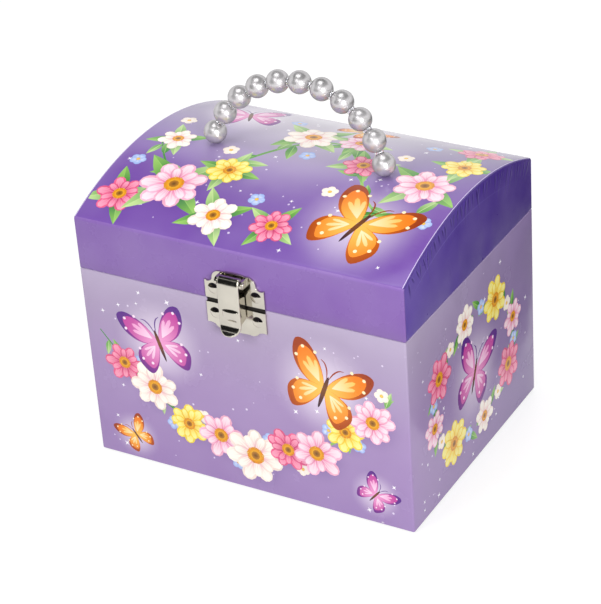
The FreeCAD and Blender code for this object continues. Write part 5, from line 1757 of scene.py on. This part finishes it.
def strap_section(row, inset):
    """Points across the strap at one row, from one flange's edge over the face to the other."""
    y, z, way_y, way_z, half = row
    bend = min(STRAP_BEND, half * 0.4)
    deep = flange_depth(z) if way_z == 0 and y == -FRONT_OFF else STRAP_WALL
    side = [(half - inset, b) for b in np.linspace(deep, max(bend, inset), 6)]
    tight = max(bend - inset, 0.05)
    for t in np.linspace(0, math.pi / 2, 6)[1:]:
        side.append((half - inset - tight + tight * math.cos(t), inset + tight - tight * math.sin(t)))
    edge = side[-1][0]
    face = [(x, inset) for x in np.linspace(edge, -edge, 35)[1:-1]]
    points = []
    for x, b in side + face + [(-x, b) for x, b in side[::-1]]:
        b -= snap_rise(x, z) if abs(x) < edge and way_z == 0 else 0.0
        points.append((x, PIN_Y + y + way_y * b, PIN_Z + z + way_z * b))
    return points


def hasp_strap():
    """Outer and inner grid of the strap, joined along all its edges."""
    skin = Skin()
    rows = strap_line()
    outer = [strap_section(row, 0.0) for row in rows]
    inner = [strap_section(row, STRAP_WALL * 0.98) for row in rows]
    for k in range(len(rows) - 1):
        for j in range(len(outer[0]) - 1):
            at_lip = rows[k][1] < SNAP_LIP < rows[k + 1][1]
            # Faces of the cut lip take the painted shade steel.
            cut = at_lip and snap_rise(outer[k][j][0], rows[k][1]) > 0
            quad = [outer[k][j], outer[k + 1][j], outer[k + 1][j + 1], outer[k][j + 1]]
            skin.face(quad, SHADE_SLOT if cut else 0)
            skin.face([inner[k][j], inner[k][j + 1], inner[k + 1][j + 1], inner[k + 1][j]])
        for j, order in ((0, 1), (-1, -1)):
            skin.face([outer[k][j], inner[k][j], inner[k + 1][j], outer[k + 1][j]][::order])
    for k, order in ((0, 1), (-1, -1)):
        for j in range(len(outer[0]) - 1):
            skin.face([outer[k][j], outer[k][j + 1], inner[k][j + 1], inner[k][j]][::order])
    return skin.build("hasp_strap", [NICKEL, PAINTED_SHADE_STEEL], 40.0)


hasp = dressed(hasp_strap(), "hasp", "catch_hasp")
print(f"hasp: {len(hasp.data.polygons)} faces, strap {2 * STRAP_HALF:.1f} mm wide")

# %% [markdown]
# ## Hem of the lower catch plate
# The upper edge of the lower plate is folded back to a hem, which keeps the lid in line as it
# closes. Its finish is nearly black steel, painted shade, so the hem shows as a dark line between
# the two plates. It is a bent strip, again a section carried along a line, here a short L.

# %% Catch hem
HEM_HALF = 14.2
HEM_LINE = ((-63.38, 94.3), (-63.38, 94.62), (-63.3, 94.74), (-63.05, 94.8), (-62.95, 94.9),
            (-62.92, 95.2), (-62.92, 96.1), (-62.86, 96.2), (-62.7, 96.2), (-62.64, 96.1),
            (-62.64, 94.5), (-62.7, 94.4), (-63.2, 94.3))

hem_skin = Skin()
sections = [[(x, y, z) for y, z in HEM_LINE] for x in np.linspace(-HEM_HALF, HEM_HALF, 15)]
for near, far in zip(sections, sections[1:]):
    hem_skin.band(near, far)
hem_skin.face(sections[0][::-1])
hem_skin.face(sections[-1])
# The hem's nearly black steel is painted shade between the plates.
hem = hem_skin.build("catch_plate_hem", [PAINTED_SHADE_STEEL], 30.0)
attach(hem, "box")
print(f"hem: {2 * HEM_HALF:.1f} mm long")

# %% [markdown]
# ## Handle cord
# A thin twisted cord runs through the beads. It only shows in the small gaps, but without it the
# beads would hang in the air. A curve with a round bevel is the plain way to draw a cord, and the
# points are the bead centres on their leaning arc.

# %% Cord through the beads
HANDLE_R = 44.538
HANDLE_HALF = math.radians(69.99)
HANDLE_RISE = 29.3
HANDLE_X = -1.9
HANDLE_Z = 139.917
HANDLE_LEAN = math.radians(10)
CORD_R = 0.6


def handle_point(angle):
    """Place on the leaning arc of the beads."""
    up = HANDLE_RISE - HANDLE_R + HANDLE_R * math.cos(angle)
    x = HANDLE_X + HANDLE_R * math.sin(angle)
    return (x, up * math.sin(HANDLE_LEAN), HANDLE_Z + up * math.cos(HANDLE_LEAN))


cord_line = bpy.data.curves.new("bead_cord", "CURVE")
cord_line.dimensions = "3D"
cord_line.bevel_depth = CORD_R * MM
cord_line.bevel_resolution = 3
spline = cord_line.splines.new("NURBS")
cord_points = [handle_point(a) for a in np.linspace(-HANDLE_HALF, HANDLE_HALF, 23)]
spline.points.add(len(cord_points) - 1)
for point, at in zip(spline.points, cord_points):
    point.co = (*(c * MM for c in at), 1)
spline.order_u = 3
spline.use_endpoint_u = True
cord_line.use_fill_caps = True
cord_line.materials.append(THREAD)
dressed(in_scene("bead_cord", cord_line), "handle", "handle_cord")
print(f"bead cord through {len(cord_points)} points")

# %% [markdown]
# ## Felt under the box
# A sheet of felt is glued under the base. Cut felt has soft edges that are never quite straight, so
# a plain slab would look like plastic. The sheet is a loft of rounded rings, each a little uneven,
# and closed in the middle above and below.

# %% Base felt
FELT_X = 78.5
FELT_Y = 61.0
FELT_T = 0.8
FELT_CORNER = 3.0
FELT_SECTION = ((6.0, 0.02), (0.5, 0.02), (0.1, 0.2), (0.0, 0.45), (0.1, 0.7), (0.5, FELT_T),
                (6.0, FELT_T))
CORNERS = ((1, -1), (1, 1), (-1, 1), (-1, -1))
FELT_RNG = np.random.default_rng(3)


def rounded_ring(half_x, half_y, radius, z, per_side=36, steps=6):
    """Rounded rectangle at a height, counter-clockwise from above."""
    ring = []

    def spot(corner, quarters):
        a = math.pi / 2 * quarters
        sx, sy = CORNERS[corner % 4]
        x = sx * (half_x - radius) + radius * math.cos(a)
        return np.array((x, sy * (half_y - radius) + radius * math.sin(a), z))

    for corner in range(4):
        ring += [spot(corner, corner - 1 + k / steps) for k in range(steps + 1)]
        start, way = ring[-1], spot(corner + 1, corner) - ring[-1]
        ring += [start + way * (k / per_side) for k in range(1, per_side)]
    return np.array(ring)


def felt_ring(inset, z):
    """Ring round the felt, a little uneven, as a cut is."""
    ring = rounded_ring(FELT_X - inset, FELT_Y - inset, max(FELT_CORNER - inset, 0.5), z)
    ring[:, :2] += FELT_RNG.normal(0, 0.05, (len(ring), 2))
    return ring


felt_rings = [felt_ring(inset, z) for inset, z in FELT_SECTION]
base_felt = piece("base_felt_sheet", *loft(felt_rings), FELT, "box", "felt")
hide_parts("base_felt")
print(f"felt {2 * FELT_X:.0f} x {2 * FELT_Y:.0f} mm")

# %% [markdown]
# ## Flocked lining
# Both compartments are lined with flocked card, bent up at the walls. A card can't make a knife-edge
# corner, so each inside corner is a small curve. The lining is built as one sheet of panels that
# share their edges; a Bevel modifier turns the corners round and Solidify gives the card thickness.

# %% Tray and deck lining
IN_X = 76.1
IN_Y = 58.6
LINING = 0.8
LINING_TOP = 94.0
TRAY_FLOOR = 4.6
DECK_FRONT = 20.1
STAGE_Z = 47.3
AXIS_Y = 41.37
BUSH_R = 3.02
BEND = 1.4
SHARPEST_FLAT = math.radians(60)


def lining(name, node, panels):
    """Card lining from flat panels: divisions both ways, a hole and the rule that lifts it."""
    skin = Skin()
    for us, vs, hole, lift in panels:
        skin.sheet(cut_sheet(rectangle(us, vs), hole=hole), lift)
    made = skin.build(name, [FLOCK], 50)
    rounded(made, "bent_corners", BEND, angle_limit=SHARPEST_FLAT)
    modify(made, "card", "SOLIDIFY", thickness=LINING * 0.96 * MM, offset=-1)
    return dressed(made, "box", node)


X_IN = IN_X - LINING
Y_FRONT = -IN_Y + LINING
Y_BACK = IN_Y - LINING
Y_RISER = DECK_FRONT - LINING
xs = np.linspace(-X_IN, X_IN, 13)
tray_ys = np.linspace(Y_FRONT, Y_RISER, 8)
deck_ys = np.linspace(DECK_FRONT, Y_BACK, 5)
low_zs = np.linspace(TRAY_FLOOR, STAGE_Z, 5)
deck_zs = np.linspace(STAGE_Z, LINING_TOP, 5)
tray_zs = np.concatenate([low_zs, deck_zs[1:]])
bush_ring = [(x, y + AXIS_Y - KEY_Z) for x, y in round_hole(BUSH_R, KEY_Z)]
tray_lining = lining("tray_lining_card", "tray_lining", (
    (xs, tray_ys, None, lambda u, v: (u, v, TRAY_FLOOR)),
    (xs, tray_zs, None, lambda u, v: (-u, Y_FRONT, v)),
    (tray_ys, tray_zs, None, lambda u, v: (-X_IN, u, v)),
    (-tray_ys[::-1], tray_zs, None, lambda u, v: (X_IN, -u, v)),
    (xs, low_zs, None, lambda u, v: (u, Y_RISER, v)),
))
deck_lining = lining("deck_lining_card", "deck_lining", (
    (xs, deck_ys, bush_ring, lambda u, v: (u, v, STAGE_Z)),
    (xs, deck_zs, None, lambda u, v: (u, Y_BACK, v)),
    (deck_ys, deck_zs, None, lambda u, v: (-X_IN, u, v)),
    (-deck_ys[::-1], deck_zs, None, lambda u, v: (X_IN, -u, v)),
))
print("linings:", tray_lining.name, deck_lining.name)

# %% [markdown]
# ## Ring rolls
# Rings are pushed between soft rolls of satin over foam. Real rolls swell between their gathered
# ends and wrinkle a little where the satin is drawn in. This step makes a slack roll: rings along a
# line, drawn in at both ends, with seeded gathers, so that neighbours differ.

# %% Slack roll
ROLL_R = 6.0
ROLL_FLAT = 1.5
ROLL_GAP = 0.4
ROLL_Y0 = DECK_FRONT + ROLL_GAP
ROLL_L = Y_BACK - ROLL_GAP - ROLL_Y0
ROLL_SIDES = 44
ROLL_SWELL = 0.95
ROLL_END = [(0.0, 0.5), (0.25, 1.6), (0.35, 3.0), (0.7, 4.2), (1.5, 5.0), (2.6, 5.4)]
SLACK_R = 5.55
GATHERS = 15


def roll_rings(seed):
    """Rings of a slack roll along y, its centre line at nought, with gathered ends."""
    rng = np.random.default_rng(seed)
    half = ROLL_L / 2
    run = ROLL_END + [(d, SLACK_R) for d in np.linspace(3.8, half, 13)]
    rows = [(-half + d, r) for d, r in run] + [(half - d, r) for d, r in run[-2::-1]]
    turn = full_turn(ROLL_SIDES)
    folds = rng.uniform(0.6, 1.4, GATHERS)[(turn * GATHERS / 6.3).astype(int) % GATHERS]
    phase = rng.uniform(0, 2 * np.pi, 3)
    rings = []
    for y, r in rows:
        near = math.exp(-((half - abs(y)) / 2.6) ** 2)
        gather = 0.3 * near * np.sin(GATHERS * turn + phase[0] * np.sign(y)) * folds
        wander = 0.12 * np.sin(3 * turn + y / 4 + phase[1]) * np.sin(y / 6 + phase[2])
        reach = (r + gather * min(1, r / 4) + wander) * ROLL_SWELL
        z = np.maximum(reach * np.sin(turn), ROLL_FLAT - ROLL_R)
        rings.append(np.stack([reach * np.cos(turn), np.full(ROLL_SIDES, y), z], 1))
    return rings


print(f"slack roll: {len(roll_rings(0))} rings, {ROLL_L:.1f} mm long")

# %% [markdown]
# ## Satin filled with foam
# The swell could be sculpted. A cloth simulation with air pressure finds it by itself: the roll is
# made ten times too large, because cloth behaves badly at a few millimetres, its glued bottom and
# ends are pinned, and the shape found is scaled back. Each point's move is capped, to be safe.

# %% Cloth with air pressure
CLOTH_SCALE = 10.0
CLOTH_FRAMES = 18
CLOTH_CAP = 0.55
CLOTH = {
    "quality": 5, "mass": 0.3, "tension_stiffness": 12, "compression_stiffness": 12,
    "bending_stiffness": 0.4, "shrink_min": -0.05, "use_pressure": True, "uniform_pressure_force": 4,
    "vertex_group_mass": "glued",
}


def swell(points, faces, name):
    """Points after the simulation."""
    mesh = bpy.data.meshes.new(name)
    mesh.from_pydata([tuple(c * MM * CLOTH_SCALE for c in p) for p in points], [], faces)
    shape = in_scene(name, mesh)
    pinned = shape.vertex_groups.new(name="glued")
    low = min(p[2] for p in points) + 0.05
    half = ROLL_L / 2
    pinned.add([k for k, p in enumerate(points) if p[2] < low or half - abs(p[1]) < 0.3], 1.0, "ADD")
    cloth = shape.modifiers.new("cloth", "CLOTH")
    for key, value in CLOTH.items():
        setattr(cloth.settings, key, value)
    cloth.settings.effector_weights.gravity = 0
    cloth.point_cache.frame_end = CLOTH_FRAMES
    for step in range(1, CLOTH_FRAMES + 1):
        scene.frame_set(step)
    found = shape.evaluated_get(bpy.context.evaluated_depsgraph_get()).data
    after = np.array([tuple(v.co) for v in found.vertices]) / (MM * CLOTH_SCALE)
    bpy.data.objects.remove(shape)
    scene.frame_set(1)
    move = after - np.array(points)
    far = np.maximum(np.linalg.norm(move, axis=1), 1e-9)[:, None]
    return np.array(points) + move * np.minimum(1, CLOTH_CAP / far)


roll_shapes = []
for seed in (21, 22, 23):
    points, faces = loft(roll_rings(seed))
    points = swell(points, faces, f"roll_cloth_{seed}")
    roll_shapes.append((np.array(points), faces))
print(f"{len(roll_shapes)} roll shapes of {len(roll_shapes[0][0])} points")

# %% [markdown]
# ## Six rolls
# Three rolls lie side by side at each end of the deck. The left ones are mirrored and take the
# shapes in another order, so that the pairs don't match.

# %% Satin rolls
DECK_GAP = 0.01

for side, word in ((1, "right"), (-1, "left")):
    for k in range(3):
        points, faces = roll_shapes[(k + (side < 0)) % 3]
        x = side * (IN_X - LINING - ROLL_GAP - ROLL_R - k * (2 * ROLL_R + ROLL_GAP))
        spot = np.array((x, ROLL_Y0 + ROLL_L / 2, STAGE_Z + ROLL_R - ROLL_FLAT))
        put = points * (1, side, 1) + spot
        put[:, 2] = np.maximum(put[:, 2], STAGE_Z + DECK_GAP)
        name = f"satin_roll_{word}_{k + 1}"
        roll = piece(name, put, [face[::side] for face in faces], SATIN, "box", "satin", 80)
        modify(roll, "finer", "SUBSURF", levels=1, render_levels=1)
        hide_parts(f"ring_roll_{word}_{k + 1}")
print(f"six satin rolls {ROLL_L:.1f} mm long")

# %% [markdown]
# ## The dancer
# The dancer is a small moulded doll, which stands on her points with both arms raised. One way is to
# sculpt her. Here each limb is a loft with its own radii, and a voxel Remesh melts them into one
# moulding, as in a real tool. Limbs are listed for the right side and mirrored.

# %% Doll moulding
DOLL = np.array((0.0, AXIS_Y))
TRUNK = (
    (82.4, 0.9, 0.8, 0), (83.2, 2.1, 1.8, 0), (84.6, 2.75, 2.25, -0.1), (86.4, 2.35, 1.95, 0),
    (88.0, 1.95, 1.6, 0.05), (90.0, 2.2, 1.8, 0.1), (92.2, 2.65, 2.15, 0.3), (93.6, 2.75, 1.95, 0.2),
    (94.8, 2.7, 1.45, 0), (95.5, 1.9, 1.2, -0.05), (96.1, 1.0, 1.0, -0.05), (97.2, 0.9, 0.92, 0),
)
HEAD = (
    (96.1, 0.35, 0.4, 0.75), (96.5, 1.0, 1.15, 0.55), (97.3, 1.75, 1.95, 0.3), (98.4, 2.3, 2.5, 0.1),
    (99.5, 2.55, 2.75, 0), (100.6, 2.5, 2.7, -0.05), (101.6, 1.9, 2.1, -0.1), (102.1, 0.7, 0.8, -0.15),
)
NOSE = ((0, -2.62, 99.15, 0.14), (0, -2.86, 98.7, 0.22), (0, -2.86, 98.45, 0.26), (0, -2.5, 98.3, 0.2))
STAND = ((58.85, 1.7, 1.7, 0), (59.4, 1.75, 1.75, 0), (60.3, 1.78, 1.78, 0))
LEG = (
    (0.95, -0.05, 60.2, 0.42), (0.95, -0.05, 62.4, 0.62), (1.0, 0.1, 64.4, 0.58), (1.1, 0.3, 67.4, 0.92),
    (1.15, 0.35, 69.8, 1.08), (1.15, 0.05, 73.4, 0.86), (1.2, -0.1, 76.4, 1.15), (1.3, 0, 80.0, 1.42),
    (1.35, 0, 83.8, 1.5),
)
ARM = (
    (2.2, 0, 94.4, 0.9), (3.4, -0.1, 95.3, 0.86), (5.2, -0.3, 97.4, 0.72), (6.5, -0.4, 100.3, 0.66),
    (5.9, -0.4, 103.4, 0.58), (4.1, -0.3, 105.7, 0.46), (2.7, -0.2, 106.5, 0.5), (1.2, -0.2, 106.95, 0.3),
)


def around(rows, side=1):
    """Rows of x, y and more numbers at the dancer's axis, mirrored where side is -1."""
    return [(side * x + DOLL[0], y + DOLL[1], *rest) for x, y, *rest in rows]


def doll_piece(name, parts, finish, sharp=45.0):
    return piece(name, *joined(parts), finish, "dancer", "doll_plastic", sharp)


def melted(made, voxel, rounds):
    """Melts overlapping lofts into one skin."""
    modify(made, "melt", "REMESH", mode="VOXEL", voxel_size=voxel * MM, use_smooth_shade=True)
    modify(made, "ease", "SMOOTH", factor=0.5, iterations=rounds)


body_parts = [oval_loft(TRUNK, DOLL), oval_loft(HEAD, DOLL), limb(around(NOSE)), oval_loft(STAND, DOLL)]
body_parts += [limb(around(rows, side)) for side in (-1, 1) for rows in (LEG, ARM)]
doll_skin = doll_piece("dancer_moulding", body_parts, DOLL_SKIN)
melted(doll_skin, 0.16, 5)
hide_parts("dancer_figure")
print(f"dancer: {len(body_parts)} lofts melt into one moulding")

# %% [markdown]
# ## Foot plug and shoes
# A nylon plug under her feet presses into the cup of the spring. The shoes are thin lofts just
# outside the feet, with two bands of ribbon round each ankle.

# %% Foot plug and shoes
PLUG = ((58.82, 3.1, 3.1, 0), (58.9, 3.2, 3.2, 0), (59.9, 3.2, 3.2, 0), (60.0, 3.18, 3.18, 0),
        (60.02, 2.9, 2.9, 0))
SHOE = ((0.95, -0.05, 60.1, 0.5), (0.95, -0.1, 61.6, 0.74), (0.97, 0.0, 63.0, 0.74), (1.0, 0.12, 63.9, 0.68))
ANKLE_BANDS = ((64.9, 0.71), (65.9, 0.81))

doll_piece("dancer_foot_plug", [oval_loft(PLUG, DOLL, 32, 2)], NYLON, 40)
shoes = []
for side in (-1, 1):
    shoes.append(limb(around(SHOE, side)))
    for z, r in ANKLE_BANDS:
        hoop = [(side * 1.03 + r * math.cos(a), 0.15 + r * math.sin(a), z + 0.25 * math.sin(a), 0.13)
                for a in np.linspace(0, 2 * np.pi, 13)]
        shoes.append(limb(around(hoop), 8, 3))
doll_piece("dancer_shoes", shoes, DOLL_PINK)
print(f"shoes: {len(shoes)} lofts")

# %% [markdown]
# ## Bodice
# The bodice is painted on, so it is a skin a tenth of a millimetre outside the trunk. Its upper edge
# dips between the straps, which a pair of cosines gives. Straps and waistband are thin limbs.

# %% Bodice
BODICE = (
    (83.6, 2.62, 2.18, -0.1), (84.6, 2.86, 2.36, -0.1), (86.4, 2.46, 2.06, 0), (88.0, 2.06, 1.71, 0.05),
    (90.0, 2.31, 1.91, 0.1), (92.0, 2.78, 2.28, 0.32), (93.2, 2.87, 2.15, 0.26),
)
BODICE_SIDES = 40
STRAP = ((1.5, -2.05, 93.2, 0.17), (1.75, -1.5, 94.7, 0.17), (1.85, -0.2, 95.5, 0.17),
         (1.7, 1.2, 94.6, 0.17), (1.4, 1.75, 93.0, 0.17))

turn = full_turn(BODICE_SIDES)
bodice_rings = oval_rings(BODICE, DOLL, BODICE_SIDES)
for k, ring in enumerate(bodice_rings):
    near_top = (k / (len(bodice_rings) - 1)) ** 6
    ring[:, 2] -= near_top * (0.5 * np.cos(2 * turn) + 0.25 * np.cos(4 * turn))
waist = [(2.15 * math.cos(a), -0.05 + 1.8 * math.sin(a), 88.0, 0.28) for a in np.linspace(0, 2 * np.pi, 25)]
straps = [limb(around(STRAP, side), 8) for side in (-1, 1)]
doll_piece("dancer_bodice", [loft(bodice_rings)] + straps + [limb(around(waist), 10, 2)], DOLL_PINK)
print(f"bodice: {len(bodice_rings)} rings, two straps and a waistband")

# %% [markdown]
# ## Hair and face
# Her hair is a cap with a bun, melted together with a coil that winds round it. The face is a few
# dabs of paint: two eyes, brows and a small mouth. Each dab is a shallow dome that stands a hair
# above the head.

# %% Hair and face
HAIR_CAP = (
    (97.0, 1.1, 0.9, -1.5), (98.0, 2.15, 1.9, -0.95), (99.2, 2.66, 2.45, -0.5), (100.4, 2.76, 2.72, -0.3),
    (101.4, 2.42, 2.5, -0.2), (102.1, 1.5, 1.7, -0.25), (102.4, 0.4, 0.5, -0.3),
)
BUN = ((100.4, 0.5, 0.5, -2.2), (100.9, 1.25, 1.2, -2.1), (101.7, 1.5, 1.45, -2.1), (102.5, 1.2, 1.15, -2.1),
       (102.95, 0.4, 0.4, -2.1))
BROW = ((0.55, -2.66, 100.2, 0.05), (0.95, -2.58, 100.34, 0.07), (1.4, -2.34, 100.22, 0.04))


def bun_coil(a):
    """Place on the coil round the bun after a turn."""
    r = 1.28 - 0.16 * a / 6.28
    return (r * math.cos(a), 2.1 + r * math.sin(a), 101.2 + 0.22 * a, 0.34)


def dab(x, y, z, wide, deep, tall):
    """Shallow dome of paint."""
    rows = [(z - tall, 0.02, 0.02, 0), (z - tall * 0.8, wide * 0.6, deep * 0.6, 0), (z, wide, deep, 0),
            (z + tall * 0.8, wide * 0.6, deep * 0.6, 0), (z + tall, 0.02, 0.02, 0)]
    return oval_loft(rows, DOLL + (x, y), 16, 3)


coil = limb(around([bun_coil(a) for a in np.linspace(0, 9, 30)]), 8, 2)
doll_hair = doll_piece("dancer_hair", [oval_loft(HAIR_CAP, DOLL), oval_loft(BUN, DOLL), coil], DOLL_HAIR)
melted(doll_hair, 0.14, 2)
eyes = []
for side in (-1, 1):
    eyes.append(dab(side * 0.95, -2.5, 99.4, 0.3, 0.16, 0.3))
    eyes.append(limb(around(BROW, side), 8))
doll_piece("dancer_eyes", eyes, PAINT_DARK)
doll_piece("dancer_lips", [dab(0, -2.42, 97.62, 0.42, 0.2, 0.17)], PAINT_LIP)
print(f"face: {len(eyes)} dabs for eyes and brows, one for the mouth")

# %% [markdown]
# ## Skirt
# The skirt is stiff tulle, cut as rings and gathered at the waist, so its hem stands in flutes. Three
# thin rings with different flutes look fuller than one thick one.

# %% Tulle skirt
SKIRT_WAIST = 2.5
SKIRT_ROWS = 14
SKIRT_TURNS = 216
TULLE_T = 0.05


def tutu(name, top, hem, flutes, phase, radius):
    """Fluted ring of tulle and its area in square millimetres."""
    turn = full_turn(SKIRT_TURNS)
    rows = []
    for t in np.linspace(0, 1, SKIRT_ROWS):
        wave = np.sin(flutes * turn + phase) + 0.3 * np.sin((flutes + 5) * turn + 2 * phase)
        r = SKIRT_WAIST + (radius - SKIRT_WAIST) * t + 0.2 * t * t * np.cos(flutes * turn + phase)
        z = top - (top - hem) * t ** 1.4 + 0.55 * t ** 1.3 * wave
        rows.append(np.stack([DOLL[0] + r * np.cos(turn), DOLL[1] + r * np.sin(turn), z], 1))
    points, faces = loft(rows, close=False)
    p = np.array(points)
    area = sum(np.linalg.norm(np.cross(p[f[2]] - p[f[0]], p[f[3]] - p[f[1]])) / 2 for f in faces)
    made = piece(name, points, [f[::-1] for f in faces], TULLE, "dancer", "tulle", 180)
    modify(made, "thread", "SOLIDIFY", thickness=TULLE_T * MM)
    return made, area


skirts = [
    tutu("dancer_skirt_top", 87.7, 86.3, 12, 0.0, 11.3),
    tutu("dancer_skirt_middle", 87.2, 85.6, 14, 1.1, 11.0),
    tutu("dancer_skirt_low", 86.7, 84.9, 11, 2.3, 10.6),
]
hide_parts("dancer_skirt")
print("skirt rings, square mm:", [round(area) for made, area in skirts])
